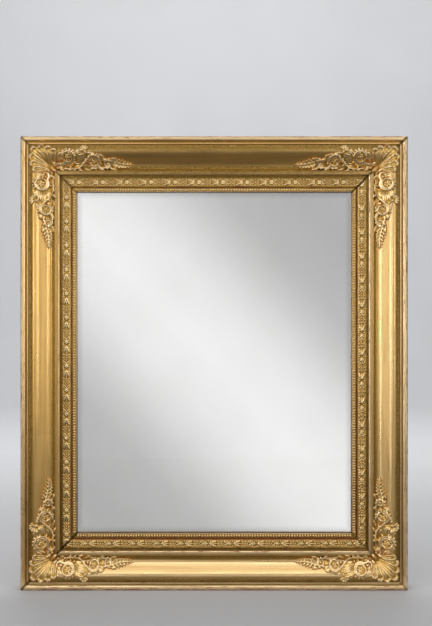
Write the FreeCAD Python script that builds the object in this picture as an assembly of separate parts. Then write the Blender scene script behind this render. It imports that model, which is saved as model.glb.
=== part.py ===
import FreeCAD, Part
import math
import os

from FreeCAD import Vector

# Gilt wall mirror. +Z is up, the front faces -Y, and the origin is the middle of the bottom edge that it
# stands on. A place on a rail is given by x along it, s inwards from its outer edge and d forwards from its back.

# Frame, seen from the front
FRAME_WIDTH = 640.0
FRAME_HEIGHT = 750.0
MITRE_GAP = 0.2

# Widths of the rail's mouldings, from the outer edge inwards
TORUS_WIDTH = 13.0
QUIRK_WIDTH = 2.0
FLANK_WIDTH = 9.0
SCOOP_WIDTH = 26.0
COVE_RISE_WIDTH = 6.0
FILLET_WIDTH = 8.5
STEP_WIDTH = 4.0
FRIEZE_WIDTH = 12.5
GROOVE_WIDTH = 1.5
SLIP_WIDTH = 7.5

# Depths of the rail's mouldings, forwards from the back
SIDE_DEPTH = 43.5
QUIRK_DEPTH = 47.5
FLANK_DEPTH = 51.5
CREST_DEPTH = 54.0
FILLET_DEPTH = 43.5
FRIEZE_SEAT_DEPTH = 34.0
SLIP_SEAT_DEPTH = 29.0
REBATE_DEPTH = 22.0
REBATE_WIDTH = 10.0

# Curves of the rail's scoop
CROWN_RADIUS = 14.0
VALLEY_RADIUS = 12.0
SCOOP_TILT = 38.0
NOSING_RADIUS = 2.5

# Frieze strip, with one rosette, leaf pair, collar and tablet in each repeat
FRIEZE_THICKNESS = 2.0
FRIEZE_RELIEF = 1.3
FRIEZE_REPEAT = 40.0
FRIEZE_BORDER = 1.2
ROSETTE_RADIUS = 2.8
ROSETTE_EYE_RADIUS = 1.1
FRIEZE_LEAF_LENGTH = 15.0
FRIEZE_LEAF_WIDTH = 3.4
COLLAR_LENGTH = 2.4
COLLAR_WIDTH = 9.0
TABLET_LENGTH = 11.0
TABLET_WIDTH = 6.6
LEAF_PLACE_SHARE = 0.32
COLLAR_PLACE_SHARE = 0.565
TABLET_PLACE_SHARE = 0.76

# Bead slip
SLIP_CLEARANCE = 1.0
SLIP_THICKNESS = 2.2
BEAD_RADIUS = 2.1
BEAD_PITCH = 4.4
BEAD_EDGE = 0.3

# Corner ornament: heights above the rail's surface
GLUE_LINE = 0.05
BACKING_HEIGHT = 1.4
LEAF_HEIGHT = 3.0
CURL_HEIGHT = 4.0
BOSS_HEIGHT = 4.6
BEDDING_SHARE = 0.5

# Palmette over the mitre, fanning from its root towards the outer corner
PALMETTE_INSET = 54.0
PALMETTE_REACH = 51.0
PALMETTE_LEAF_STEP = 16.0
PALMETTE_LEAF_WIDTH = 11.0
PALMETTE_CURL_RADIUS = 4.6
PALMETTE_ROOT_RADIUS = 7.0
PALMETTE_REACH_SHARES = (0.98, 0.88, 0.77, 0.67)

# Scroll spray along a rail's end, from the palmette's root: places as shares of its length and of the scoop's width
SPRAY_GAP = 1.0
SPRAY_LENGTH = 124.0
VOLUTE_RADIUS = 12.6
VOLUTE_RIM = 2.6
# Along, across and radius of the three scrolls, the largest next to the palmette
VOLUTE_SHARES = ((0.136, 0.50, 1.0), (0.478, 0.655, 0.87), (0.658, 0.75, 0.58))
EYE_SHARE = 0.40
SHELL_RADIUS = 7.8
SHELL_LOBE_RADIUS = 2.9
SHELL_SHARES = (0.358, 0.19)
SHELL_LOBES = 5
SHELL_LOBE_STEP = 38.0
SHELL_LEAN = 250.0
# Leaves: root along and across, tip along and across, and width
SPRAY_LEAF_WIDTH = 10.0
SPRAY_LEAF_SHARES = (
    (0.018, 0.62, 0.13, 0.66, 0.75),
    (0.018, 0.30, 0.13, 0.32, 0.70),
    (0.145, 0.70, 0.43, 0.76, 0.75),
    (0.175, 0.40, 0.355, 0.24, 0.75),
    (0.19, 0.53, 0.46, 0.66, 0.80),
    (0.52, 0.66, 0.655, 0.74, 0.80),
    (0.685, 0.79, 1.00, 0.78, 1.00),
    (0.685, 0.76, 0.88, 0.64, 0.60),
    (0.685, 0.80, 0.88, 0.93, 0.55),
)

# Glass and what holds it
GLASS_THICKNESS = 4.0
GLASS_SIDE_PLAY = 1.5
GLASS_TOP_PLAY = 3.0
SILVERING_THICKNESS = 0.3
PLANK_COUNT = 3
PLANK_THICKNESS = 8.0
PLANK_SIDE_PLAY = 1.0
PLANK_JOINT = 0.4
BLOCK_LENGTH = 40.0
SIDE_BLOCK_COUNT = 3
END_BLOCK_COUNT = 2

# Hardwood keys across the mitres
KEY_LEG = 45.0
KEY_THICKNESS = 4.0
KEY_DEPTH = 18.0
KEY_CLEARANCE = 0.05

# Turn buttons on the backs of the side rails
BUTTON_INSET = 71.0
BUTTON_THICKNESS = 1.6
BUTTON_PASS = 0.3
BUTTON_HEEL_RADIUS = 7.0
BUTTON_NOSE_RADIUS = 5.0
BUTTON_LENGTH = 18.0
BUTTON_PLAY = 0.1
PIVOT_CLEARANCE = 0.05
PIVOT_RADIUS = 2.0
PIVOT_LENGTH = 16.0
PIVOT_HEAD_RADIUS = 4.0
PIVOT_HEAD_HEIGHT = 1.8
DRIVER_SLOT_WIDTH = 0.9
DRIVER_SLOT_DEPTH = 0.8

# Hangers: a strap with a barrel on each side rail, and a ring that swings in it
HANGER_INSET = 40.0
HANGER_HEIGHT = 540.0
STRAP_WIDTH = 14.0
STRAP_LENGTH = 50.0
STRAP_THICKNESS = 1.8
BARREL_WALL = 1.8
BARREL_STANDOFF = 4.2
RING_WIRE_RADIUS = 1.75
RING_BORE_CLEARANCE = 0.08
RING_OPENING = 20.0
RING_DROP = 24.0
RING_CORNER_RADIUS = 3.0
HANGER_SCREW_RADIUS = 1.9
HANGER_SCREW_HEAD_RADIUS = 3.6
HANGER_SCREW_LENGTH = 18.0
HANGER_SCREW_CLEARANCE = 0.05
HANGER_SCREW_DROP = 12.0
HANGER_SCREW_SPACING = 28.0

# One overrun for every cut
OVERRUN = 5.0

# Places worked out from the sizes above
FLANK_S = TORUS_WIDTH + QUIRK_WIDTH
CREST_S = FLANK_S + FLANK_WIDTH
VALLEY_S = CREST_S + SCOOP_WIDTH
FILLET_S = VALLEY_S + COVE_RISE_WIDTH
STEP_S = FILLET_S + FILLET_WIDTH
FRIEZE_S = STEP_S + STEP_WIDTH
GROOVE_S = FRIEZE_S + FRIEZE_WIDTH
SLIP_S = GROOVE_S + GROOVE_WIDTH
RAIL_WIDTH = SLIP_S + SLIP_WIDTH
REBATE_S = RAIL_WIDTH - REBATE_WIDTH
BACK_Y = SIDE_DEPTH / 2
SPRAY_START = PALMETTE_INSET + PALMETTE_ROOT_RADIUS + SPRAY_GAP
ORNAMENT_REACH = SPRAY_START + SPRAY_LENGTH
MITRE_SETBACK = MITRE_GAP / math.sqrt(2)
PLAN_BACK = -OVERRUN
PLAN_FRONT = CREST_DEPTH + BOSS_HEIGHT + OVERRUN

TILT = math.radians(SCOOP_TILT)
SLOPE_LENGTH = (SCOOP_WIDTH - (CROWN_RADIUS + VALLEY_RADIUS) * math.sin(TILT)) / math.cos(TILT)
SCOOP_DROP = (CROWN_RADIUS + VALLEY_RADIUS) * (1 - math.cos(TILT)) + SLOPE_LENGTH * math.sin(TILT)
VALLEY_DEPTH = CREST_DEPTH - SCOOP_DROP


def sagitta_radius(half_chord, rise):
    """Radius of the arc that rises this much over this half chord."""
    return (half_chord ** 2 + rise ** 2) / (2 * rise)


FLANK_RADIUS = sagitta_radius(FLANK_WIDTH, CREST_DEPTH - FLANK_DEPTH)
COVE_RADIUS = sagitta_radius(COVE_RISE_WIDTH, FILLET_DEPTH - VALLEY_DEPTH)
FLANK_ANGLE = 180 - math.degrees(math.asin((FLANK_RADIUS - CREST_DEPTH + FLANK_DEPTH) / FLANK_RADIUS))
COVE_ANGLE = 270 + math.degrees(math.asin(COVE_RISE_WIDTH / COVE_RADIUS))

GLASS_WIDTH = FRAME_WIDTH - 2 * (REBATE_S + GLASS_SIDE_PLAY)
REBATE_HEIGHT = FRAME_HEIGHT - 2 * REBATE_S
GLASS_HEIGHT = REBATE_HEIGHT - GLASS_TOP_PLAY
GLASS_BACK = REBATE_DEPTH - GLASS_THICKNESS
SILVERING_BACK = GLASS_BACK - SILVERING_THICKNESS
PLANK_FRONT = BUTTON_PASS + PLANK_THICKNESS
BLOCK_LEG = SILVERING_BACK - PLANK_FRONT
PLANK_WIDTH = FRAME_WIDTH - 2 * (REBATE_S + PLANK_SIDE_PLAY)
PLANK_PITCH = REBATE_HEIGHT / PLANK_COUNT

OUTWARDS = Vector(0, 1, 0)
UP = Vector(0, 0, 1)
RIGHT = Vector(1, 0, 0)
ORIGIN = Vector(0, 0, 0)

# Each side: its rail's length, the frame's extent across it, and its turn from the bottom
SIDES = {
    "bottom": (FRAME_WIDTH, FRAME_HEIGHT, 0),
    "right": (FRAME_HEIGHT, FRAME_WIDTH, -90),
    "top": (FRAME_WIDTH, FRAME_HEIGHT, 180),
    "left": (FRAME_HEIGHT, FRAME_WIDTH, 90),
}
# The corner that each rail's two ends come to, once the rail is turned to its side
SIDE_ENDS = {
    "bottom": ("left", "right"),
    "right": ("bottom", "top"),
    "top": ("right", "left"),
    "left": ("top", "bottom"),
}


def place(s, d, x=0):
    """Point on the bottom rail."""
    return Vector(x, BACK_Y - d, s)


def line(start, end):
    return Part.LineSegment(start, end).toShape()


def arc(start, middle, end):
    return Part.Arc(start, middle, end).toShape()


def on_section(centre, radius, angle):
    """Point of the rail's section at this angle from inwards towards the front."""
    turn = math.radians(angle)
    return place(centre[0] + radius * math.cos(turn), centre[1] + radius * math.sin(turn))


def section_arc(centre, radius, start, end):
    angles = (start, (start + end) / 2, end)
    return arc(*[on_section(centre, radius, angle) for angle in angles])


def chain(points):
    """Straight edges through these points."""
    return [line(start, end) for start, end in zip(points, points[1:])]


def to_side(shape, side):
    """Turn a piece made on the bottom rail to another side of the frame."""
    across, turn = SIDES[side][1:]
    turned = shape.copy()
    turned.translate(UP * ((FRAME_HEIGHT - across) / 2))
    turned.rotate(UP * (FRAME_HEIGHT / 2), OUTWARDS, turn)
    return turned


def plan_prism(edges, back=PLAN_BACK, front=PLAN_FRONT):
    """Prism over a closed outline drawn at the rail's back, between two depths."""
    face = Part.Face(Part.Wire(edges))
    face.translate(OUTWARDS * -back)
    return face.extrude(OUTWARDS * (back - front))


def polygon_prism(corners, back=PLAN_BACK, front=PLAN_FRONT):
    """Prism over a polygon given as pairs of x and s."""
    points = [place(s, 0, x) for x, s in corners]
    return plan_prism(chain(points + points[:1]), back, front)


def box_prism(x, s, length, width, back, front):
    """Block centred at x and s."""
    near, far = x - length / 2, x + length / 2
    low, high = s - width / 2, s + width / 2
    return polygon_prism([(near, low), (far, low), (far, high), (near, high)], back, front)


def disc_prism(x, s, radius, back=PLAN_BACK, front=PLAN_FRONT):
    return Part.makeCylinder(radius, front - back, place(s, back, x), -OUTWARDS)


def leaf_prism(root, tip, width, back=PLAN_BACK, front=PLAN_FRONT):
    """Pointed leaf between two places given as x and s."""
    start, end = place(root[1], 0, root[0]), place(tip[1], 0, tip[0])
    middle = (start + end) / 2
    side = (end - start).cross(OUTWARDS).normalize() * (width / 2)
    edges = [arc(start, middle + side, end), arc(end, middle - side, start)]
    return plan_prism(edges, back, front)


def mitred(section_edges, length):
    """Moulding of this section along the bottom rail, mitred at both ends."""
    section = Part.Face(Part.Wire(section_edges))
    bar = section.extrude(RIGHT * length)
    bar.translate(RIGHT * (-length / 2))
    outer = length / 2 - MITRE_SETBACK
    inner = outer - RAIL_WIDTH
    corners = [(-outer, 0), (outer, 0), (inner, RAIL_WIDTH), (-inner, RAIL_WIDTH)]
    return bar.common(polygon_prism(corners))


def scoop_edges(raised=0):
    """Flank, crown, slope, valley and cove of the rail's section, raised square to the surface."""
    flank_centre = (CREST_S, CREST_DEPTH - FLANK_RADIUS)
    crown_centre = (CREST_S, CREST_DEPTH - CROWN_RADIUS)
    valley_centre = (VALLEY_S, VALLEY_DEPTH + VALLEY_RADIUS)
    cove_centre = (VALLEY_S, VALLEY_DEPTH + COVE_RADIUS)
    slope_start = on_section(crown_centre, CROWN_RADIUS + raised, 90 - SCOOP_TILT)
    slope_end = on_section(valley_centre, VALLEY_RADIUS - raised, 270 - SCOOP_TILT)
    return [
        section_arc(flank_centre, FLANK_RADIUS + raised, FLANK_ANGLE, 90),
        section_arc(crown_centre, CROWN_RADIUS + raised, 90, 90 - SCOOP_TILT),
        line(slope_start, slope_end),
        section_arc(valley_centre, VALLEY_RADIUS - raised, 270 - SCOOP_TILT, 270),
        section_arc(cove_centre, COVE_RADIUS - raised, 270, COVE_ANGLE),
    ]


def scoop_ends(raised=0):
    """Outer and inner end of the raised scoop."""
    flank_centre = (CREST_S, CREST_DEPTH - FLANK_RADIUS)
    cove_centre = (VALLEY_S, VALLEY_DEPTH + COVE_RADIUS)
    outer = on_section(flank_centre, FLANK_RADIUS + raised, FLANK_ANGLE)
    inner = on_section(cove_centre, COVE_RADIUS - raised, COVE_ANGLE)
    return outer, inner


def rail_section():
    """Outline of the rail: outer torus, scoop, fillet, seats for frieze and slip, and the glass rebate."""
    torus_radius = TORUS_WIDTH / 2
    torus_centre = (torus_radius, SIDE_DEPTH)
    torus_end = math.degrees(math.asin((QUIRK_DEPTH - SIDE_DEPTH) / torus_radius))
    nosing_centre = (STEP_S - NOSING_RADIUS, FILLET_DEPTH - NOSING_RADIUS)
    outer, inner = scoop_ends()
    edges = [line(place(0, 0), place(0, SIDE_DEPTH))]
    edges.append(section_arc(torus_centre, torus_radius, 180, torus_end))
    torus_foot = on_section(torus_centre, torus_radius, torus_end)
    edges += chain([torus_foot, place(FLANK_S, QUIRK_DEPTH), outer])
    edges += scoop_edges()
    edges.append(line(inner, on_section(nosing_centre, NOSING_RADIUS, 90)))
    edges.append(section_arc(nosing_centre, NOSING_RADIUS, 90, 0))
    edges += chain([
        on_section(nosing_centre, NOSING_RADIUS, 0),
        place(STEP_S, FRIEZE_SEAT_DEPTH),
        place(SLIP_S, FRIEZE_SEAT_DEPTH),
        place(SLIP_S, SLIP_SEAT_DEPTH),
        place(RAIL_WIDTH, SLIP_SEAT_DEPTH),
        place(RAIL_WIDTH, REBATE_DEPTH),
        place(REBATE_S, REBATE_DEPTH),
        place(REBATE_S, 0),
        place(0, 0),
    ])
    return edges


def key_at_corner(leg, back, front):
    """Triangular key in the bottom left corner."""
    corner = -FRAME_WIDTH / 2
    return polygon_prism([(corner, 0), (corner + leg, 0), (corner, leg)], back, front)


def key_slot():
    leg = KEY_LEG + 2 * KEY_CLEARANCE
    return key_at_corner(leg, KEY_DEPTH - KEY_CLEARANCE, KEY_DEPTH + KEY_THICKNESS + KEY_CLEARANCE)


def at_corners(shape):
    """Copies of a piece of the bottom left corner, mirrored to all four."""
    right = shape.mirror(ORIGIN, RIGHT)
    middle = UP * (FRAME_HEIGHT / 2)
    return {
        "bottom_left": shape,
        "bottom_right": right,
        "top_left": shape.mirror(middle, UP),
        "top_right": right.mirror(middle, UP),
    }


def plank_height(index):
    """Height of a plank's middle above the base."""
    return REBATE_S + PLANK_PITCH * (index + 0.5)


def left_back(s, height, d=0):
    """Place on the back of the left rail."""
    return Vector(s - FRAME_WIDTH / 2, BACK_Y - d, height)


def button_pivots():
    return [left_back(BUTTON_INSET, plank_height(index)) for index in range(PLANK_COUNT)]


def hanger_screw_places():
    top = HANGER_HEIGHT - HANGER_SCREW_DROP
    heights = (top, top - HANGER_SCREW_SPACING)
    return [left_back(HANGER_INSET, height, -STRAP_THICKNESS) for height in heights]


def both_sides(shape):
    """A piece of the left rail and its mirror image on the right rail."""
    return {"left": shape, "right": shape.mirror(ORIGIN, RIGHT)}


def screw_holes():
    """Holes in the left rail for its button pivots and hanger screws."""
    holes = []
    for pivot in button_pivots():
        depth = PIVOT_LENGTH + PIVOT_CLEARANCE
        holes.append(Part.makeCylinder(PIVOT_RADIUS + PIVOT_CLEARANCE, depth, pivot, -OUTWARDS))
    for top in hanger_screw_places():
        depth = HANGER_SCREW_LENGTH + HANGER_SCREW_CLEARANCE
        radius = HANGER_SCREW_RADIUS + HANGER_SCREW_CLEARANCE
        holes.append(Part.makeCylinder(radius, depth, top, -OUTWARDS))
    return holes


def rails():
    slots = list(at_corners(key_slot()).values())
    holes = []
    for hole in screw_holes():
        holes += both_sides(hole).values()
    nodes = {}
    for side, (length, _, _) in SIDES.items():
        rail = to_side(mitred(rail_section(), length), side)
        nodes[side + "_rail"] = rail.cut(slots + holes)
    return nodes


def frieze_repeat(x, back, front):
    """Rosette, leaf pair, collar and tablet of one repeat, starting at x."""
    middle = FRIEZE_S + FRIEZE_WIDTH / 2
    leaf_x = x + FRIEZE_REPEAT * LEAF_PLACE_SHARE
    collar_x = x + FRIEZE_REPEAT * COLLAR_PLACE_SHARE
    tablet_x = x + FRIEZE_REPEAT * TABLET_PLACE_SHARE
    rosette = disc_prism(x, middle, ROSETTE_RADIUS, back, front)
    pieces = [rosette.cut(disc_prism(x, middle, ROSETTE_EYE_RADIUS, (back + front) / 2, front))]
    for offset in (-FRIEZE_LEAF_WIDTH / 2, FRIEZE_LEAF_WIDTH / 2):
        root = (leaf_x - FRIEZE_LEAF_LENGTH / 2, middle + offset)
        tip = (leaf_x + FRIEZE_LEAF_LENGTH / 2, middle + offset)
        pieces.append(leaf_prism(root, tip, FRIEZE_LEAF_WIDTH - FRIEZE_BORDER / 2, back, front))
    pieces.append(box_prism(collar_x, middle, COLLAR_LENGTH, COLLAR_WIDTH, back, front))
    tablet_root = (tablet_x - TABLET_LENGTH / 2, middle)
    tablet_tip = (tablet_x + TABLET_LENGTH / 2, middle)
    pieces.append(leaf_prism(tablet_root, tablet_tip, TABLET_WIDTH, back, front))
    return pieces


def frieze(length):
    """Strip of the frieze for one rail, with a border along both edges."""
    top = FRIEZE_SEAT_DEPTH + FRIEZE_THICKNESS
    crest = top + FRIEZE_RELIEF
    bed = top - FRIEZE_THICKNESS * BEDDING_SHARE
    inner = GROOVE_S - FRIEZE_BORDER
    outer = FRIEZE_S + FRIEZE_BORDER
    strip = mitred(chain([
        place(FRIEZE_S, FRIEZE_SEAT_DEPTH),
        place(FRIEZE_S, crest),
        place(outer, crest),
        place(outer, top),
        place(inner, top),
        place(inner, crest),
        place(GROOVE_S, crest),
        place(GROOVE_S, FRIEZE_SEAT_DEPTH),
        place(FRIEZE_S, FRIEZE_SEAT_DEPTH),
    ]), length)
    count = int((length - 2 * GROOVE_S) / FRIEZE_REPEAT)
    start = -FRIEZE_REPEAT * (count - 1) / 2 - FRIEZE_REPEAT * TABLET_PLACE_SHARE / 2
    pieces = []
    for index in range(count):
        pieces += frieze_repeat(start + index * FRIEZE_REPEAT, bed, crest)
    return strip.fuse(pieces)


def bead_slip(length):
    """Slip along the sight edge, with a row of beads."""
    outer = SLIP_S + SLIP_CLEARANCE
    top = SLIP_SEAT_DEPTH + SLIP_THICKNESS
    strip = mitred(chain([
        place(outer, SLIP_SEAT_DEPTH),
        place(outer, top),
        place(RAIL_WIDTH, top),
        place(RAIL_WIDTH, SLIP_SEAT_DEPTH),
        place(outer, SLIP_SEAT_DEPTH),
    ]), length)
    bead_s = RAIL_WIDTH - BEAD_EDGE - BEAD_RADIUS
    run = length - 2 * (RAIL_WIDTH + BEAD_RADIUS)
    count = int(run / BEAD_PITCH) + 1
    start = -BEAD_PITCH * (count - 1) / 2
    beads = []
    for index in range(count):
        centre = place(bead_s, top, start + index * BEAD_PITCH)
        beads.append(Part.makeSphere(BEAD_RADIUS, centre, -OUTWARDS, 0, 90))
    return strip.fuse(beads)


def relief(plans, low, high):
    """Layer of ornament that follows the scoop under these plans, between two heights above it."""
    low_ends, high_ends = scoop_ends(low), scoop_ends(high)
    outline = scoop_edges(low)
    outline.append(line(low_ends[1], high_ends[1]))
    outline += reversed(scoop_edges(high))
    outline.append(line(high_ends[0], low_ends[0]))
    layer = Part.Face(Part.Wire(outline)).extrude(RIGHT * ORNAMENT_REACH)
    plan = plans[0].fuse(plans[1:]) if len(plans) > 1 else plans[0]
    return layer.common(plan)


def palmette_leaves():
    """Root and tip of each leaf of the fan."""
    root = PALMETTE_INSET
    leaves = []
    last = len(PALMETTE_REACH_SHARES) - 1
    for index in range(-last, last + 1):
        angle = math.radians(225 + index * PALMETTE_LEAF_STEP)
        reach = PALMETTE_REACH * PALMETTE_REACH_SHARES[abs(index)]
        leaves.append((root + reach * math.cos(angle), root + reach * math.sin(angle)))
    return leaves


def palmette():
    """Fan of leaves with curled tips over the bottom left mitre."""
    root = (PALMETTE_INSET, PALMETTE_INSET)
    tips = palmette_leaves()
    blades = [leaf_prism(root, tip, PALMETTE_LEAF_WIDTH) for tip in tips]
    curls = []
    for tip in tips:
        curl_share = 1 - PALMETTE_CURL_RADIUS / math.dist(root, tip)
        x = root[0] + (tip[0] - root[0]) * curl_share
        s = root[1] + (tip[1] - root[1]) * curl_share
        curls.append(disc_prism(x, s, PALMETTE_CURL_RADIUS))
    boss = disc_prism(root[0], root[1], PALMETTE_ROOT_RADIUS)
    # The half of the corner that belongs to the bottom rail
    half = polygon_prism([(0, 0), (ORNAMENT_REACH, 0), (ORNAMENT_REACH, ORNAMENT_REACH)])
    bed = BACKING_HEIGHT * BEDDING_SHARE
    backing = relief(blades + curls + [boss], GLUE_LINE, BACKING_HEIGHT)
    layers = [
        relief(blades, bed, LEAF_HEIGHT),
        relief(curls, bed, CURL_HEIGHT),
        relief([boss], bed, BOSS_HEIGHT),
    ]
    own_half = backing.fuse(layers).common(half)
    whole = own_half.fuse(own_half.mirror(ORIGIN, Vector(1, 0, -1)))
    whole.translate(RIGHT * (-FRAME_WIDTH / 2))
    return whole


def spray_place(along_share, across_share):
    """Place on a spray, from shares of its length and of the scoop's width."""
    return SPRAY_START + SPRAY_LENGTH * along_share, FLANK_S + (FILLET_S - FLANK_S) * across_share


def shell_lobes(x, s):
    """Lobes of the small shell, fanned away from the scrolls."""
    lobes = []
    for index in range(SHELL_LOBES):
        angle = math.radians(SHELL_LEAN + (index - (SHELL_LOBES - 1) / 2) * SHELL_LOBE_STEP)
        reach = SHELL_RADIUS - SHELL_LOBE_RADIUS
        lobes.append(disc_prism(x + reach * math.cos(angle), s + reach * math.sin(angle), SHELL_LOBE_RADIUS))
    return lobes


def spray():
    """Scroll spray on a rail's end, with x counted from the outer corner."""
    discs, rims, eyes = [], [], []
    for along, across, radius_share in VOLUTE_SHARES:
        x, s = spray_place(along, across)
        radius = VOLUTE_RADIUS * radius_share
        disc = disc_prism(x, s, radius)
        discs.append(disc)
        rims.append(disc.cut(disc_prism(x, s, radius - VOLUTE_RIM)))
        eyes.append(disc_prism(x, s, radius * EYE_SHARE))
    leaves = []
    for root_along, root_across, tip_along, tip_across, width_share in SPRAY_LEAF_SHARES:
        root = spray_place(root_along, root_across)
        tip = spray_place(tip_along, tip_across)
        leaves.append(leaf_prism(root, tip, SPRAY_LEAF_WIDTH * width_share))
    lobes = shell_lobes(*spray_place(*SHELL_SHARES))
    bed = BACKING_HEIGHT * BEDDING_SHARE
    backing = relief(discs + leaves + lobes, GLUE_LINE, BACKING_HEIGHT)
    return backing.fuse([
        relief(leaves, bed, LEAF_HEIGHT),
        relief(rims, bed, CURL_HEIGHT),
        relief(eyes, bed, BOSS_HEIGHT),
        relief(lobes, bed, CURL_HEIGHT),
    ])


def ornaments():
    nodes = {}
    for corner, shape in at_corners(palmette()).items():
        nodes[corner + "_palmette"] = shape
    pattern = spray()
    for side, (length, _, _) in SIDES.items():
        first = pattern.copy()
        first.translate(RIGHT * (-length / 2))
        for end, shape in zip(SIDE_ENDS[side], (first, first.mirror(ORIGIN, RIGHT))):
            nodes[f"{side}_rail_{end}_spray"] = to_side(shape, side)
    return nodes


def glazing():
    """Glass, silvering, the blocks behind them and the backboard's planks."""
    bottom = REBATE_S
    middle = bottom + GLASS_HEIGHT / 2
    nodes = {
        "mirror_glass": box_prism(0, middle, GLASS_WIDTH, GLASS_HEIGHT, GLASS_BACK, REBATE_DEPTH),
        "silvering": box_prism(0, middle, GLASS_WIDTH, GLASS_HEIGHT, SILVERING_BACK, GLASS_BACK),
    }
    section = chain([
        place(REBATE_S, PLANK_FRONT),
        place(REBATE_S, SILVERING_BACK),
        place(REBATE_S + BLOCK_LEG, SILVERING_BACK),
        place(REBATE_S, PLANK_FRONT),
    ])
    block = Part.Face(Part.Wire(section)).extrude(RIGHT * BLOCK_LENGTH)
    blocks = []
    for side, (length, _, _) in SIDES.items():
        count = SIDE_BLOCK_COUNT if length == FRAME_HEIGHT else END_BLOCK_COUNT
        pitch = (length - 2 * REBATE_S) / count
        for index in range(count):
            copy = block.copy()
            copy.translate(RIGHT * (pitch * (index + 0.5 - count / 2) - BLOCK_LENGTH / 2))
            blocks.append(to_side(copy, side))
    nodes["glass_blocks"] = Part.makeCompound(blocks)
    for index, level in enumerate(("lower", "middle", "upper")):
        low = REBATE_S + PLANK_PITCH * index
        high = low + PLANK_PITCH - PLANK_JOINT
        nodes[level + "_back_plank"] = box_prism(
            0, (low + high) / 2, PLANK_WIDTH, high - low, BUTTON_PASS, PLANK_FRONT)
    return nodes


def mitre_keys():
    key = key_at_corner(KEY_LEG, KEY_DEPTH, KEY_DEPTH + KEY_THICKNESS)
    return {corner + "_mitre_key": shape for corner, shape in at_corners(key).items()}


def turn_button(pivot):
    """Drop-shaped button with its nose over the plank and a hole for its pivot screw."""
    lean = math.acos((BUTTON_HEEL_RADIUS - BUTTON_NOSE_RADIUS) / BUTTON_LENGTH)
    nose = pivot + RIGHT * BUTTON_LENGTH

    def around(centre, radius, angle):
        return centre + RIGHT * (radius * math.cos(angle)) + UP * (radius * math.sin(angle))

    heel_high = around(pivot, BUTTON_HEEL_RADIUS, lean)
    heel_low = around(pivot, BUTTON_HEEL_RADIUS, -lean)
    nose_high = around(nose, BUTTON_NOSE_RADIUS, lean)
    nose_low = around(nose, BUTTON_NOSE_RADIUS, -lean)
    edges = [
        arc(heel_high, around(pivot, BUTTON_HEEL_RADIUS, math.pi), heel_low),
        line(heel_low, nose_low),
        arc(nose_low, around(nose, BUTTON_NOSE_RADIUS, 0), nose_high),
        line(nose_high, heel_high),
    ]
    blank = Part.Face(Part.Wire(edges)).extrude(OUTWARDS * BUTTON_THICKNESS)
    return blank.cut(Part.makeCylinder(PIVOT_RADIUS + PIVOT_CLEARANCE, BUTTON_THICKNESS, pivot, OUTWARDS))


def pivot_screw(pivot):
    """Round-headed screw that a turn button turns on."""
    seat = pivot + OUTWARDS * (BUTTON_THICKNESS + BUTTON_PLAY)
    point_length = 2 * PIVOT_RADIUS
    shank_foot = pivot - OUTWARDS * (PIVOT_LENGTH - point_length)
    shank = Part.makeCylinder(PIVOT_RADIUS, (seat - shank_foot).Length, shank_foot, OUTWARDS)
    point = Part.makeCone(PIVOT_RADIUS, 0, point_length, shank_foot, -OUTWARDS)
    ball_radius = sagitta_radius(PIVOT_HEAD_RADIUS, PIVOT_HEAD_HEIGHT)
    ball = Part.makeSphere(ball_radius, seat - OUTWARDS * (ball_radius - PIVOT_HEAD_HEIGHT))
    head = ball.common(Part.makeCylinder(PIVOT_HEAD_RADIUS, PIVOT_HEAD_HEIGHT, seat, OUTWARDS))
    floor = seat + OUTWARDS * (PIVOT_HEAD_HEIGHT - DRIVER_SLOT_DEPTH)
    corner = floor - RIGHT * PIVOT_HEAD_RADIUS - UP * (DRIVER_SLOT_WIDTH / 2)
    slot = Part.makeBox(2 * PIVOT_HEAD_RADIUS, OVERRUN, DRIVER_SLOT_WIDTH, corner)
    return shank.fuse([point, head]).cut(slot)


def turn_buttons():
    nodes = {}
    screws = []
    for level, pivot in zip(("lower", "middle", "upper"), button_pivots()):
        for side, shape in both_sides(turn_button(pivot)).items():
            nodes[f"{side}_{level}_turn_button"] = shape
        screws += both_sides(pivot_screw(pivot)).values()
    nodes["turn_button_screws"] = Part.makeCompound(screws)
    return nodes


def barrel_centre():
    return left_back(HANGER_INSET, HANGER_HEIGHT, -BARREL_STANDOFF)


def countersunk_screw(top):
    """Flush screw whose head narrows to its shank."""
    head_height = HANGER_SCREW_HEAD_RADIUS - HANGER_SCREW_RADIUS
    point_length = 2 * HANGER_SCREW_RADIUS
    shank_length = HANGER_SCREW_LENGTH - head_height - point_length
    neck = top - OUTWARDS * head_height
    foot = neck - OUTWARDS * shank_length
    head = Part.makeCone(HANGER_SCREW_HEAD_RADIUS, HANGER_SCREW_RADIUS, head_height, top, -OUTWARDS)
    shank = Part.makeCylinder(HANGER_SCREW_RADIUS, shank_length, neck, -OUTWARDS)
    point = Part.makeCone(HANGER_SCREW_RADIUS, 0, point_length, foot, -OUTWARDS)
    corner = top - RIGHT * HANGER_SCREW_HEAD_RADIUS - UP * (DRIVER_SLOT_WIDTH / 2)
    corner = corner - OUTWARDS * DRIVER_SLOT_DEPTH
    slot = Part.makeBox(2 * HANGER_SCREW_HEAD_RADIUS, OVERRUN, DRIVER_SLOT_WIDTH, corner)
    return head.fuse([shank, point]).cut(slot)


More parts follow.
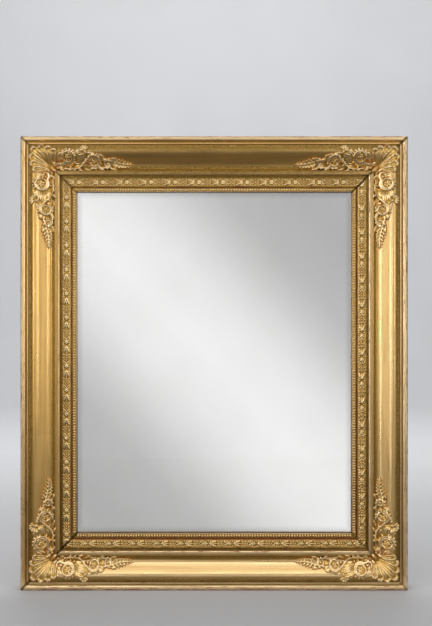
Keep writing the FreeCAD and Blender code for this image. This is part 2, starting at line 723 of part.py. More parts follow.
def hanger_strap():
    """Strap down the rail with a barrel for the ring at its top, and two countersunk holes."""
    centre = barrel_centre()
    bore = RING_WIRE_RADIUS + RING_BORE_CLEARANCE
    left_end = centre - RIGHT * (STRAP_WIDTH / 2)
    foot = left_back(HANGER_INSET - STRAP_WIDTH / 2, HANGER_HEIGHT - STRAP_LENGTH)
    end_radius = STRAP_WIDTH / 2
    end_centre = left_back(HANGER_INSET, HANGER_HEIGHT - STRAP_LENGTH)
    plate = Part.makeBox(STRAP_WIDTH, STRAP_THICKNESS, STRAP_LENGTH, foot)
    rounded_end = Part.makeCylinder(end_radius, STRAP_THICKNESS, end_centre, OUTWARDS)
    barrel = Part.makeCylinder(bore + BARREL_WALL, STRAP_WIDTH, left_end, RIGHT)
    strap = plate.fuse([rounded_end, barrel])
    cuts = [Part.makeCylinder(bore, STRAP_WIDTH, left_end, RIGHT)]
    shank_radius = HANGER_SCREW_RADIUS + HANGER_SCREW_CLEARANCE
    head_radius = HANGER_SCREW_HEAD_RADIUS + HANGER_SCREW_CLEARANCE
    for top in hanger_screw_places():
        cuts.append(Part.makeCylinder(shank_radius, STRAP_THICKNESS, top, -OUTWARDS))
        cuts.append(Part.makeCone(head_radius, shank_radius, head_radius - shank_radius, top, -OUTWARDS))
    return strap.cut(cuts)


def hanging_ring():
    """Ring of round wire: a bar through the barrel, two legs and a half-round bow, hanging down."""
    centre = barrel_centre()
    half = RING_OPENING / 2 + RING_WIRE_RADIUS
    straight = half - RING_CORNER_RADIUS
    bow_drop = RING_DROP - half
    down = -UP

    def wire(start, along, length):
        return Part.makeCylinder(RING_WIRE_RADIUS, length, start, along)

    def bend(middle, start, along, axis, turn):
        circle = Part.Wire(Part.makeCircle(RING_WIRE_RADIUS, start, along))
        return Part.Face(circle).revolve(middle, axis, turn)

    bar_start = centre - RIGHT * straight
    pieces = [wire(bar_start, RIGHT, 2 * straight)]
    for hand in (1, -1):
        out = RIGHT * hand
        bar_end = centre + out * straight
        corner_middle = bar_end + down * RING_CORNER_RADIUS
        leg_top = corner_middle + out * RING_CORNER_RADIUS
        pieces.append(bend(corner_middle, bar_end, RIGHT, OUTWARDS * hand, 90))
        pieces.append(wire(leg_top, down, bow_drop - RING_CORNER_RADIUS))
    bow_middle = centre + down * bow_drop
    pieces.append(bend(bow_middle, bow_middle + RIGHT * half, UP, OUTWARDS, 180))
    return pieces[0].fuse(pieces[1:]).removeSplitter()


def hangers():
    nodes = {}
    for side, shape in both_sides(hanger_strap()).items():
        nodes[side + "_hanger_strap"] = shape
    for side, shape in both_sides(hanging_ring()).items():
        nodes[side + "_hanging_ring"] = shape
    screws = []
    for top in hanger_screw_places():
        screws += both_sides(countersunk_screw(top)).values()
    nodes["hanger_screws"] = Part.makeCompound(screws)
    return nodes


def trims():
    """Frieze and bead slip of each side."""
    nodes = {}
    for side, (length, _, _) in SIDES.items():
        nodes[side + "_frieze"] = to_side(frieze(length), side)
        nodes[side + "_bead_slip"] = to_side(bead_slip(length), side)
    return nodes


def main():
    os.makedirs("parts", exist_ok=True)
    for make in (rails, trims, ornaments, glazing, mitre_keys, turn_buttons, hangers):
        for node, shape in make().items():
            shape.exportStep(f"parts/{node}.step")


main()
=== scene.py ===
import math
from functools import partial

import bmesh
import bpy
import numpy as np
from mathutils import Matrix, Vector


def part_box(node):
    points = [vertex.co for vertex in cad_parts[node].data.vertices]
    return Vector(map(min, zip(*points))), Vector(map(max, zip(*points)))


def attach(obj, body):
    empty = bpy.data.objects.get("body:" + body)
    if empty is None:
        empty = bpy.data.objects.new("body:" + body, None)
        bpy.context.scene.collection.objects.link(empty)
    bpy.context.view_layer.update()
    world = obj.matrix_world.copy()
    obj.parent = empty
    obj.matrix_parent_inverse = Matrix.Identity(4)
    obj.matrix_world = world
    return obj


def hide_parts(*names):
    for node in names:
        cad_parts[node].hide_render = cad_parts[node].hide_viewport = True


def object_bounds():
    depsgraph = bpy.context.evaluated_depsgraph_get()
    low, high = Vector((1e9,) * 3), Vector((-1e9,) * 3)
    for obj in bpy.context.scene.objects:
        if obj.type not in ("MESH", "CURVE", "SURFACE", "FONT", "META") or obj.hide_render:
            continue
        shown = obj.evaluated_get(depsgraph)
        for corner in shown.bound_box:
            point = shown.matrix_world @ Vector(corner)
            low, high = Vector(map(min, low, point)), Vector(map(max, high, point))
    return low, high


# Gilt wall mirror: a mitred frame of gilded mouldings with cast corner ornaments, a frieze and a beaded slip.
# A place on the bottom rail is x along it, s inwards from its outer edge and d forwards from its back.

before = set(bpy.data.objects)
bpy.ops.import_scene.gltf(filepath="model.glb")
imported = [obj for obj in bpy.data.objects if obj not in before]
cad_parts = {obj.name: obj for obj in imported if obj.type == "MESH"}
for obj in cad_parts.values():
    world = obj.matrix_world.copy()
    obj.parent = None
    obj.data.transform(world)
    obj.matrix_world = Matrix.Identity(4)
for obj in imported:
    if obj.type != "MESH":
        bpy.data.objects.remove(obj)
cad_low, cad_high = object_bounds()

MM = 0.001
FRAME_WIDTH = cad_high.x - cad_low.x
FRAME_HEIGHT = cad_high.z - cad_low.z
BACK_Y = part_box("bottom_rail")[1].y

# Widths and depths of the rail's mouldings, from the outer edge inwards and forwards from the back
OUTER_BEAD_RADIUS = 4.9 * MM
OUTER_BEAD_TOP = 50.0 * MM
REED_S = 12.4 * MM
REED_RADIUS = 2.4 * MM
REED_TOP = 49.0 * MM
FLANK_S = 15.0 * MM
CREST_S = 24.0 * MM
VALLEY_S = 50.0 * MM
FILLET_S = 56.0 * MM
STEP_S = 64.5 * MM
FRIEZE_S = 68.5 * MM
GROOVE_S = 81.0 * MM
SLIP_S = 82.5 * MM
REBATE_S = 80.0 * MM
RAIL_WIDTH = 90.0 * MM
SIDE_DEPTH = 43.5 * MM
QUIRK_DEPTH = 47.5 * MM
FLANK_DEPTH = 51.5 * MM
CREST_DEPTH = 54.0 * MM
VALLEY_DEPTH = 40.7 * MM
FILLET_DEPTH = 43.5 * MM
FRIEZE_SEAT_DEPTH = 34.0 * MM
SLIP_SEAT_DEPTH = 29.0 * MM
REBATE_DEPTH = 22.0 * MM
NOSING_RADIUS = 2.5 * MM

# Steps of the mouldings' meshes, the degrees above which their edges stay sharp, and what counts as near
OUTLINE_STEP = 1.0 * MM
RUN_STEP = 12.0 * MM
RAIL_CREASE = 28
SLIP_CREASE = 40
FRIEZE_CREASE = 60
BOARD_CREASE = 35
NEAR = 0.05 * MM

# Mitre joints, and how much dirt has gathered along each: the joints that have opened with age are darker
MITRE_GAP = 0.2 * MM
MITRE_DIRT_WIDTH = 4.0 * MM
MITRE_GRIME = {"bottom_left": 1.6, "bottom_right": 0.9, "top_right": 1.6, "top_left": 1.2}

# Hardwood keys across the mitres
KEY_LEG = 45.1 * MM
KEY_BACK = 17.95 * MM
KEY_FRONT = 22.05 * MM

# Glass, its silvering, with painted shade darkening it along the sight edges, and the boards behind
GLASS_EASING = 0.6 * MM
SILVER_GAP = 0.03 * MM
SILVER_EDGE_SHADE = 14 * MM
PLANK_EASING = 1.2 * MM

# Bead slip
SLIP_EDGE_S = 83.5 * MM
SLIP_TOP = 31.2 * MM
SLIP_ROUNDING = 0.5 * MM
BEAD_HALF_LENGTH = 1.75 * MM
BEAD_HALF_WIDTH = 3.1 * MM
BEAD_RISE = 2.1 * MM
BEAD_PITCH = 4.4 * MM
BEAD_S = 86.75 * MM

# Frieze
FRIEZE_TOP = 36.0 * MM
FRIEZE_RELIEF = 1.8 * MM
FRIEZE_RIDGE = 0.8 * MM
FRIEZE_REPEAT = 40.0 * MM
FRIEZE_BORDER = 1.0 * MM
FRIEZE_LAST_SHARE = 0.76
FRIEZE_VOXEL = 0.45 * MM
FRIEZE_KEEP_SHARE = 0.35
# Strength of the dust and painted shade in the frieze's hollows
FRIEZE_DUST_AND_SHADE = 0.72
# Places of its motifs, in millimetres from the rosette
FRIEZE_COLLAR = 21.6
FRIEZE_BOSS = 27
FRIEZE_CHEVRON = 36.2

# Corner ornaments
ORNAMENT_HEIGHT = 4.6 * MM
ORNAMENT_SINK = 0.15 * MM
ORNAMENT_VOXEL = 0.6 * MM
ORNAMENT_KEEP_SHARE = 0.5
# Strength of the dust and painted shade in the ornaments' hollows and low ground
ORNAMENT_DUST_AND_SHADE = 0.5
HOLLOW_DEPTH = 0.6 * MM
HOLLOW_ROUNDS = 14
SCROLL_STEPS = 26
PALMETTE_INSET = 54.0 * MM
PALMETTE_REACH = 51.0 * MM
PALMETTE_LEAF_STEP = 16.0
PALMETTE_REACH_SHARES = (0.98, 0.88, 0.77, 0.67)
PALMETTE_TURN = 225
# Palmette's leaf, in millimetres. Body, rib and rims: shares of its reach where each sits and that it runs,
# width and height. Rolls and tip: how far short of its reach, length, width and height. Rims and rolls, last:
# how far off the middle, and degrees of splay.
PALMETTE_BODY = (0.64, 0.7, 11.0, 1.9)
PALMETTE_RIB = (0.5, 0.8, 2.2, 2.9)
PALMETTE_RIM = (0.58, 0.78, 3.4, 3.4, 3.3, 7)
PALMETTE_ROLL = (3.6, 6.0, 7.2, 4.7, 2.3, 30)
PALMETTE_TIP = (2.4, 5.0, 6.0, 4.9)
# Calyx and ground of a palmette: how far inwards of its root and to either side, length, width and height
CALYX_PAIRS = (
    (-3, 5, 11, 6, 4.2),
    (2.4, 4.8, 5.4, 5.4, 4.4),
)
CALYX_KNOB = (0, 0, 16, 7, 4.8)
PALMETTE_GROUND = (-14, 0, 36, 40, 1.3)

# Length of each side, how far it is turned from the bottom one, and the sides that its ends come to
SIDES = {
    "bottom": (FRAME_WIDTH, 0),
    "right": (FRAME_HEIGHT, -90),
    "top": (FRAME_WIDTH, 180),
    "left": (FRAME_HEIGHT, 90),
}
SIDE_ENDS = {
    "bottom": ("left", "right"),
    "right": ("bottom", "top"),
    "top": ("right", "left"),
    "left": ("top", "bottom"),
}


def side_matrix(side):
    """Turns a piece made on the bottom rail to its own side of the frame."""
    length, turn = SIDES[side]
    across = FRAME_WIDTH + FRAME_HEIGHT - length
    middle = Vector((0, 0, FRAME_HEIGHT / 2))
    lift = Vector((0, 0, (FRAME_HEIGHT - across) / 2))
    turned = Matrix.Rotation(math.radians(turn), 4, "Y")
    return Matrix.Translation(middle) @ turned @ Matrix.Translation(lift - middle)


def corner_of(side, end):
    """Name of the corner that this end of a side's rail comes to."""
    names = (side, SIDE_ENDS[side][end])
    upright = "top" if "top" in names else "bottom"
    return f"{upright}_{'left' if 'left' in names else 'right'}"


def sides_of(length):
    return [side for side in SIDES if SIDES[side][0] == length]


def select_only(piece):
    bpy.ops.object.select_all(action="DESELECT")
    piece.select_set(True)
    bpy.context.view_layer.objects.active = piece


def open_piece(piece):
    """Selects a piece by itself and opens it for modelling."""
    select_only(piece)
    bpy.ops.object.mode_set(mode="EDIT")


def start_piece(name):
    """New bare piece, open for modelling."""
    piece = bpy.data.objects.new(name, bpy.data.meshes.new(name))
    bpy.context.scene.collection.objects.link(piece)
    open_piece(piece)
    return piece


def end_modelling():
    bpy.ops.object.mode_set(mode="OBJECT")


def finish_with(piece, kind, **settings):
    """Adds a modifier with these settings and applies it."""
    select_only(piece)
    modifier = piece.modifiers.new(kind, kind)
    for name, value in settings.items():
        setattr(modifier, name, value)
    bpy.ops.object.modifier_apply(modifier=modifier.name)


def turn_faces_out():
    bpy.ops.mesh.select_all(action="SELECT")
    bpy.ops.mesh.normals_make_consistent(inside=False)


def turn_out(piece):
    """Turns a finished piece's faces outwards."""
    open_piece(piece)
    turn_faces_out()
    end_modelling()


def shade(piece, crease):
    """Smooth shading, with sharp edges where faces meet at more than this many degrees."""
    select_only(piece)
    bpy.ops.object.shade_smooth_by_angle(angle=math.radians(crease))


def repeat_along(piece, count, pitch):
    """Row of a piece and its repeats along x."""
    offset = {"use_relative_offset": False, "use_constant_offset": True}
    finish_with(piece, "ARRAY", count=count, constant_offset_displace=(pitch, 0, 0), **offset)


def join(piece, others):
    select_only(piece)
    for other in others:
        other.select_set(True)
    bpy.ops.object.join()


def copy_to(pattern, name, matrix):
    """Copy of a finished piece with its own mesh, brought to its place."""
    piece = pattern.copy()
    piece.name = name
    piece.data = pattern.data.copy()
    piece.data.name = name
    piece.data.transform(matrix)
    if matrix.determinant() < 0:
        piece.data.flip_normals()
    bpy.context.scene.collection.objects.link(piece)
    return piece


def values_of(items, name, width, kind=np.float32):
    """Numbers kept for each of these points or edges, in rows of this width."""
    flat = np.zeros(len(items) * width, kind)
    items.foreach_get(name, flat)
    return flat.reshape(-1, width)


def points_of(piece):
    return values_of(piece.data.vertices, "co", 3)


def move_points(piece, points):
    piece.data.vertices.foreach_set("co", np.ascontiguousarray(points, np.float32).ravel())
    piece.data.update()


def keep_values(piece, **kinds):
    """Stores numbers or places for the points of a piece, by name, for its finish to read."""
    for name, values in kinds.items():
        vectors = values.ndim == 2
        attribute = piece.data.attributes.get(name)
        if attribute is None:
            attribute = piece.data.attributes.new(name, "FLOAT_VECTOR" if vectors else "FLOAT", "POINT")
        attribute.data.foreach_set("vector" if vectors else "value", values.astype(np.float32).ravel())


def place_on_frame(piece, node):
    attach(piece, "frame")
    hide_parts(node)


# Rails

def arc(centre, radius, start, end):
    """Points of a round stretch of the section, by degrees from inwards towards the front."""
    count = max(4, round(radius * math.radians(abs(end - start)) / OUTLINE_STEP))
    angles = np.radians(np.linspace(start, end, count + 1))
    return [(centre[0] + radius * math.cos(a), centre[1] + radius * math.sin(a)) for a in angles]


def ogee(start, end):
    """Points of a double curve that leaves one place level and reaches the other level."""
    count = round((end[0] - start[0]) / OUTLINE_STEP)
    fall = (start[1] - end[1]) / 2
    shares = np.linspace(0, 1, count + 1)
    return [(start[0] + (end[0] - start[0]) * u, end[1] + fall * (1 + math.cos(math.pi * u))) for u in shares]


def straight(*corners):
    """Points along straight stretches of the section."""
    points = [corners[0]]
    for start, end in zip(corners, corners[1:]):
        count = max(1, round(math.dist(start, end) / (2 * OUTLINE_STEP)))
        for step in range(1, count + 1):
            share = step / count
            points.append(tuple(a + (b - a) * share for a, b in zip(start, end)))
    return points


def shallow_arc(half_chord, rise):
    """Radius of a shallow arc, and the degrees that it turns through."""
    radius = (half_chord ** 2 + rise ** 2) / (2 * rise)
    return radius, math.degrees(math.asin(half_chord / radius))


def rail_front():
    """Gilded front of the rail's section, from its outer side over bead, reed and scoop to the sight edge."""
    flank, flank_turn = shallow_arc(CREST_S - FLANK_S, CREST_DEPTH - FLANK_DEPTH)
    cove, cove_turn = shallow_arc(FILLET_S - VALLEY_S, FILLET_DEPTH - VALLEY_DEPTH)
    nosing = (STEP_S - NOSING_RADIUS, FILLET_DEPTH - NOSING_RADIUS)
    points = arc((OUTER_BEAD_RADIUS, OUTER_BEAD_TOP - OUTER_BEAD_RADIUS), OUTER_BEAD_RADIUS, 180, 30)
    points += arc((REED_S, REED_TOP - REED_RADIUS), REED_RADIUS, 160, 20)
    points += straight((FLANK_S, QUIRK_DEPTH), (FLANK_S, FLANK_DEPTH))[:-1]
    points += arc((CREST_S, CREST_DEPTH - flank), flank, 90 + flank_turn, 90)[:-1]
    points += ogee((CREST_S, CREST_DEPTH), (VALLEY_S, VALLEY_DEPTH))[:-1]
    points += arc((VALLEY_S, VALLEY_DEPTH + cove), cove, 270, 270 + cove_turn)
    points += arc(nosing, NOSING_RADIUS, 90, 0)
    points += straight(
        (STEP_S, FRIEZE_SEAT_DEPTH),
        (SLIP_S, FRIEZE_SEAT_DEPTH),
        (SLIP_S, SLIP_SEAT_DEPTH),
        (RAIL_WIDTH, SLIP_SEAT_DEPTH),
        (RAIL_WIDTH, REBATE_DEPTH),
    )
    return points


def prism(name, places, shift):
    """Solid whose outline goes through these places, drawn out by the shift."""
    piece = start_piece(name)
    bpy.ops.mesh.primitive_plane_add(size=MM, location=places[0])
    bpy.ops.mesh.merge(type="CENTER")
    for start, end in zip(places, places[1:]):
        bpy.ops.mesh.extrude_vertices_move(TRANSFORM_OT_translate={"value": end - start})
    bpy.ops.mesh.select_all(action="SELECT")
    bpy.ops.mesh.edge_face_add()
    bpy.ops.mesh.extrude_region_move(TRANSFORM_OT_translate={"value": shift})
    turn_faces_out()
    end_modelling()
    return piece


def moulded_bar(name, outline, length):
    """Bar of this section along the bottom rail."""
    places = [Vector((-length / 2, BACK_Y - d, s)) for s, d in outline]
    return prism(name, places, (length, 0, 0))


def cut_mitres(piece, side):
    """Cuts both ends of a piece on the bottom rail to the mitres of the side that it goes to."""
    open_piece(piece)
    end = SIDES[side][0] / 2 - MITRE_GAP / math.sqrt(2)
    for hand in (-1, 1):
        for place, cut_off in ((end, True), (end - MITRE_DIRT_WIDTH, False)):
            bpy.ops.mesh.select_all(action="SELECT")
            bpy.ops.mesh.bisect(
                plane_co=(hand * place, 0, 0), plane_no=(hand, 0, 1), use_fill=cut_off, clear_outer=cut_off,
            )
    turn_faces_out()
    end_modelling()


def with_mitre_dirt(points, grime, side):
    """Adds the dirt in both mitre joints of a side to a piece's own dust and painted shade."""
    half = SIDES[side][0] / 2
    dust_shade_and_joints = grime.copy()
    for end, hand in enumerate((-1, 1)):
        joint = half - hand * points[:, 0] - points[:, 2] < MITRE_DIRT_WIDTH / 2 + MITRE_GAP
        dust_shade_and_joints[joint] = MITRE_GRIME[corner_of(side, end)]
    return dust_shade_and_joints


def divide_run(piece, length):
    """Cuts the long edges of a moulding into short ones."""
    open_piece(piece)
    bpy.ops.mesh.select_all(action="DESELECT")
    mesh = bmesh.from_edit_mesh(piece.data)
    for edge in mesh.edges:
        run = edge.verts[1].co - edge.verts[0].co
        edge.select_set(abs(run.x) > length / 2 and abs(run.x) > abs(run.z))
    bmesh.update_edit_mesh(piece.data)
    bpy.ops.mesh.subdivide(number_cuts=int(length / RUN_STEP))
    end_modelling()


def key_cutter(side, end):
    """Triangular prism that cuts a mitre key's slot in the bottom rail."""
    hand = (-1, 1)[end]
    corner = hand * SIDES[side][0] / 2
    places = [
        Vector((corner + hand * KEY_LEG, BACK_Y - KEY_BACK, -KEY_LEG)),
        Vector((corner - hand * KEY_LEG, BACK_Y - KEY_BACK, 0)),
        Vector((corner, BACK_Y - KEY_BACK, KEY_LEG)),
    ]
    return prism("key_cutter", places, (0, KEY_BACK - KEY_FRONT, 0))


def keep_moulding_places(piece, points, side):
    """Keeps each point's place on the moulding: along it, inwards and forwards, with no two sides alike."""
    along = points[:, 0] + list(SIDES).index(side) * FRAME_HEIGHT
    keep_values(piece, moulding=np.stack([along, points[:, 2], BACK_Y - points[:, 1]], axis=1))


# Dust and painted shade in the rail's hollows, gold worn through, and rubbed gold with painted highlights, by
# millimetres from the outer edge
RAIL_DUST_AND_SHADE = {
    0: 0.2, 2: 0.0, 8: 0.0, 9: 0.75, 10.2: 0.75, 11: 0.1, 13.6: 0.15, 14.5: 0.9, 15: 1.0, 17: 1.0, 19: 0.8,
    21.5: 0.5, 23.5: 0.2, 25: 0.0, 46: 0.0, 49: 0.2, 51: 0.55, 55: 0.9, 56.5: 0.5, 58.5: 0.15, 61: 0.05,
    63: 0.0, 64.4: 0.3, 64.5: 0.9, 68: 1.0, 70: 0.8, 80.5: 0.15, 82.5: 0.65, 83: 1.0, 84: 0.8, 90: 0.4,
}
RAIL_WORN = {
    0: 0.6, 1.5: 0.5, 3.5: 0.38, 7: 0.38, 8.5: 0.3, 9.5: 0.2, 12.4: 0.36, 14: 0.25, 20: 0.2, 25: 0.25,
    40: 0.25, 54: 0.16, 58: 0.24, 62: 0.38, 63.5: 0.44, 64.5: 0.25, 70: 0.1, 81: 0.4, 82.5: 0.55, 84: 0.4,
    90: 0.3,
}
RAIL_POLISH_AND_HIGHLIGHT = {
    0: 0.5, 3: 1.4, 7: 1.2, 8.5: 0.4, 9.5: 0.1, 12.4: 0.8, 14: 0.1, 22: 0.15, 25: 0.5, 29: 0.45, 36: 0.3,
    42: 0.45, 48: 0.4, 51: 0.0, 60: 0.15, 63.5: 1.0, 65: 0.0,
}
# Painted shade that darkens the top rail's flats alone
TOP_RAIL_PAINTED_SHADE = {17: 0.0, 20: 0.25, 25: 0.6, 28: 0.1, 47: 0.1, 49: 0.7, 63: 0.65, 64.4: 0.0}
# How much of that rubbed gold and painted highlight each rail gets, most on the bottom rail and least on the
# top and left
SIDE_POLISH_AND_HIGHLIGHT = {"bottom": 1.5, "right": 1.2, "top": 0.6, "left": 0.6}
# How much further the gold of each rail has worn through
RAIL_SCUFFED = {"bottom": 0.08, "right": 0.05, "top": 0.0, "left": 0.03}


def by_inwards(table, inwards):
    return np.interp(inwards / MM, list(table), list(table.values()))


def rail(side, bar):
    """Rail of one side, mitred, slotted for its keys and with its own finish on front, side and back."""
    length = SIDES[side][0]
    piece = copy_to(bar, f"{side}_rail_gilt", Matrix.Identity(4))
    cut_mitres(piece, side)
    divide_run(piece, length)
    for end in (0, 1):
        cutter = key_cutter(side, end)
        finish_with(piece, "BOOLEAN", object=cutter, operation="DIFFERENCE", solver="EXACT")
        bpy.data.objects.remove(cutter)
    points = points_of(piece)
    keep_moulding_places(piece, points, side)
    # Dust and painted shade along the section, darkest in the quirk, on the flank and in the cove
    grime = by_inwards(RAIL_DUST_AND_SHADE, points[:, 2])
    # The top rail's flats get painted shade on top of that
    if side == "top":
        grime = np.minimum(grime + by_inwards(TOP_RAIL_PAINTED_SHADE, points[:, 2]), 1)
    # Rubbed gold with painted highlights, scaled for each rail
    keep_values(
        piece,
        grime=with_mitre_dirt(points, grime, side),
        worn=by_inwards(RAIL_WORN, points[:, 2]) + RAIL_SCUFFED[side],
        rubbed=np.minimum(SIDE_POLISH_AND_HIGHLIGHT[side] * by_inwards(RAIL_POLISH_AND_HIGHLIGHT, points[:, 2]), 1),
    )
    for finish in (RAIL_GOLD, OCHRE_WASH, BARE_PINE):
        piece.data.materials.append(finish)
    for face in piece.data.polygons:
        depth = BACK_Y - face.center.y
        at_side = face.center.z < NEAR and depth < SIDE_DEPTH
        at_back = depth < REBATE_DEPTH + NEAR
        face.material_index = 1 if at_side else 2 if at_back else 0
    shade(piece, RAIL_CREASE)
    piece.data.transform(side_matrix(side))
    return piece


def rails():
    back = straight((REBATE_S, REBATE_DEPTH), (REBATE_S, 0)) + [(0, 0)]
    outline = rail_front() + back
    made = {}
    for length in (FRAME_WIDTH, FRAME_HEIGHT):
        bar = moulded_bar("rail_bar", outline, length)
        for side in sides_of(length):
            made[side] = rail(side, bar)
        bpy.data.objects.remove(bar)
    for side, piece in made.items():
        place_on_frame(piece, f"{side}_rail")


# Bead slips

def bead_row(length):
    """One bead drawn out across the slip, repeated along it."""
    run = length - 2 * (RAIL_WIDTH + BEAD_HALF_LENGTH)
    count = int(run / BEAD_PITCH) + 1
    start = -BEAD_PITCH * (count - 1) / 2
    piece = start_piece("beads")
    bpy.ops.mesh.primitive_uv_sphere_add(
        segments=12,
        ring_count=8,
        radius=1,
        location=(start, BACK_Y - SLIP_TOP, BEAD_S),
        scale=(BEAD_HALF_LENGTH, BEAD_RISE, BEAD_HALF_WIDTH),
    )
    bpy.ops.mesh.bisect(
        plane_co=(0, BACK_Y - SLIP_TOP + ORNAMENT_SINK, 0),
        plane_no=(0, 1, 0),
        use_fill=True,
        clear_outer=True,
    )
    turn_faces_out()
    end_modelling()
    repeat_along(piece, count, BEAD_PITCH)
    return piece


def bead_slip(side):
    length = SIDES[side][0]
    strip = straight(
        (SLIP_EDGE_S, SLIP_SEAT_DEPTH),
        (SLIP_EDGE_S, SLIP_TOP - SLIP_ROUNDING),
        (SLIP_EDGE_S + SLIP_ROUNDING, SLIP_TOP),
        (RAIL_WIDTH - SLIP_ROUNDING, SLIP_TOP),
        (RAIL_WIDTH, SLIP_TOP - SLIP_ROUNDING),
        (RAIL_WIDTH, SLIP_SEAT_DEPTH),
    )
    piece = moulded_bar(f"{side}_bead_slip_gilt", strip, length)
    cut_mitres(piece, side)
    divide_run(piece, length)
    join(piece, [bead_row(length)])
    points = points_of(piece)
    keep_moulding_places(piece, points, side)
    raised = np.clip((BACK_Y - points[:, 1] - SLIP_TOP) / BEAD_RISE, 0, 1)
    # Dust and painted shade between the beads, rubbed gold with painted highlights on their tops
    keep_values(
        piece,
        grime=with_mitre_dirt(points, np.clip(0.5 - raised, 0, 1), side),
        worn=0.3 + 0.1 * raised,
        rubbed=np.clip(raised * 1.3 - 0.3, 0, 1),
    )
    piece.data.materials.append(CAST_GOLD)
    shade(piece, SLIP_CREASE)
    piece.data.transform(side_matrix(side))
    place_on_frame(piece, f"{side}_bead_slip")


# Cast ornament: modelled flat from drawn-out balls and tapered scrolls, then fused and softened

def lobe(along, inwards, turn, length, width, height):
    """Rounded blade or knob of an ornament, in millimetres and degrees."""
    bpy.ops.mesh.primitive_uv_sphere_add(
        segments=16,
        ring_count=10,
        radius=MM,
        location=(along * MM, inwards * MM, 0),
        rotation=(0, 0, math.radians(turn)),
        scale=(length / 2, width / 2, height),
    )


def blade(root, tip, width, height, split=0.0):
    """Leaf from root to tip, given as pairs of millimetres; split parts it into two flutes."""
    turn = math.degrees(math.atan2(tip[1] - root[1], tip[0] - root[0]))
    length = math.dist(root, tip)
    side = (-math.sin(math.radians(turn)), math.cos(math.radians(turn)))
    middle = ((root[0] + tip[0]) / 2, (root[1] + tip[1]) / 2)
    if not split:
        lobe(*middle, turn, length, width, height)
        return
    for hand in (-1, 1):
        shift = hand * split * width / 2
        flute = (middle[0] + side[0] * shift, middle[1] + side[1] * shift)
        lobe(*flute, turn, length, width * (1 - split / 2), height)


def around(centre, radius, degrees):
    return tuple(c + radius * f(math.radians(degrees)) for c, f in zip(centre, (math.cos, math.sin)))


def rosette(centre, radius, petals, height):
    """Petals round a knob."""
    for index in range(petals):
        turn = 360 * index / petals
        lobe(*around(centre, radius * 0.58, turn), turn, radius * 0.95, radius * 0.66, height * 0.8)
    lobe(*centre, 0, radius * 0.62, radius * 0.62, height)


def spiral(centre, start, turns, outer, inner):
    """Points of a scroll winding in from start degrees; turns below zero wind clockwise."""
    shares = [step / SCROLL_STEPS for step in range(SCROLL_STEPS + 1)]
    return [around(centre, outer + (inner - outer) * u, start + 360 * turns * u) for u in shares]


def stem(points, thick, thin, height):
    """Tapered round stem along these points, in millimetres."""
    curve = bpy.data.curves.new("stem", "CURVE")
    curve.dimensions = "3D"
    curve.bevel_depth = MM
    curve.bevel_resolution = 3
    curve.use_fill_caps = True
    spline = curve.splines.new("NURBS")
    spline.points.add(len(points) - 1)
    for index, (point, place) in enumerate(zip(spline.points, points)):
        radius = thick + (thin - thick) * index / (len(points) - 1)
        point.co = (place[0] * MM, place[1] * MM, (height - radius) * MM, 1)
        point.radius = radius
    spline.order_u = 3
    spline.use_endpoint_u = True
    piece = bpy.data.objects.new("stem", curve)
    bpy.context.scene.collection.objects.link(piece)
    select_only(piece)
    bpy.ops.object.convert(target="MESH")
    return piece


def cast(piece, voxel, keep_share, sink):
    """Fuses the modelled pieces into one casting with softened edges and a flat back."""
    finish_with(piece, "REMESH", mode="VOXEL", voxel_size=voxel)
    finish_with(piece, "SMOOTH", factor=0.5, iterations=3)
    finish_with(piece, "DECIMATE", ratio=keep_share)
    points = points_of(piece)
    points[:, 2] = np.maximum(points[:, 2], -sink)
    move_points(piece, points)


def hollows(piece, height):
    """How far each point lies below the surface around it, from -1 on a ridge to 1 in a hollow."""
    ends = values_of(piece.data.edges, "vertices", 2, np.int32)
    both = np.concatenate([ends, ends[:, ::-1]])
    neighbours = np.maximum(np.bincount(both[:, 0], minlength=len(height)), 1)
    level = height.copy()
    for _ in range(HOLLOW_ROUNDS):
        level = np.bincount(both[:, 0], level[both[:, 1]], len(height)) / neighbours
    return np.clip((level - height) / HOLLOW_DEPTH, -1, 1)


def relief_wear_and_painted_light(piece, height, full_height, darkening):
    """Keeps where a casting has dust and painted shade in its hollows and low ground, where it is worn, and
    where its ridges are polished by rubbing and given painted highlights.
    """
    hollow = hollows(piece, height)
    relief = np.clip(height / full_height, 0, 1)
    keep_values(
        piece,
        grime=darkening * np.clip(hollow + 0.55 * (1 - relief) ** 2.5, 0, 1),
        worn=np.clip(0.1 - 0.2 * hollow, 0, 1) * relief,
        rubbed=np.clip(relief * 0.7 - 0.7 * hollow, 0, 1),
    )


# Surface that the ornaments lie on: depth, and how much a height square to it grows along the depth
SURFACE_SAMPLES = 200
SURFACE_BLUR = np.ones(15) / 15
SURFACE = np.array([p for p in rail_front() if FLANK_S - 2 * MM < p[0] < STEP_S - 2 * NOSING_RADIUS])
SURFACE_S = np.linspace(FLANK_S - MM, STEP_S - NOSING_RADIUS, SURFACE_SAMPLES)
SURFACE_D = np.interp(SURFACE_S, SURFACE[:, 0], SURFACE[:, 1])
SURFACE_RISE = np.hypot(1, np.convolve(np.gradient(SURFACE_D, SURFACE_S), SURFACE_BLUR, "same"))


def drape(piece, over_mitre):
    """Bends a flat casting onto the bottom rail's scoop, or over the mitre at the bottom left corner."""
    along, across, height = points_of(piece).T
    relief_wear_and_painted_light(piece, height, ORNAMENT_HEIGHT, ORNAMENT_DUST_AND_SHADE)
    inwards = np.minimum(along, across) if over_mitre else across
    depth = np.interp(inwards, SURFACE_S, SURFACE_D) + height * np.interp(inwards, SURFACE_S, SURFACE_RISE)
    keep_values(piece, moulding=np.stack([along, inwards, depth], axis=1))
    move_points(piece, np.stack([along, BACK_Y - depth, across], axis=1))
    turn_out(piece)
    piece.data.materials.append(CAST_GOLD)
    bpy.ops.object.shade_smooth()


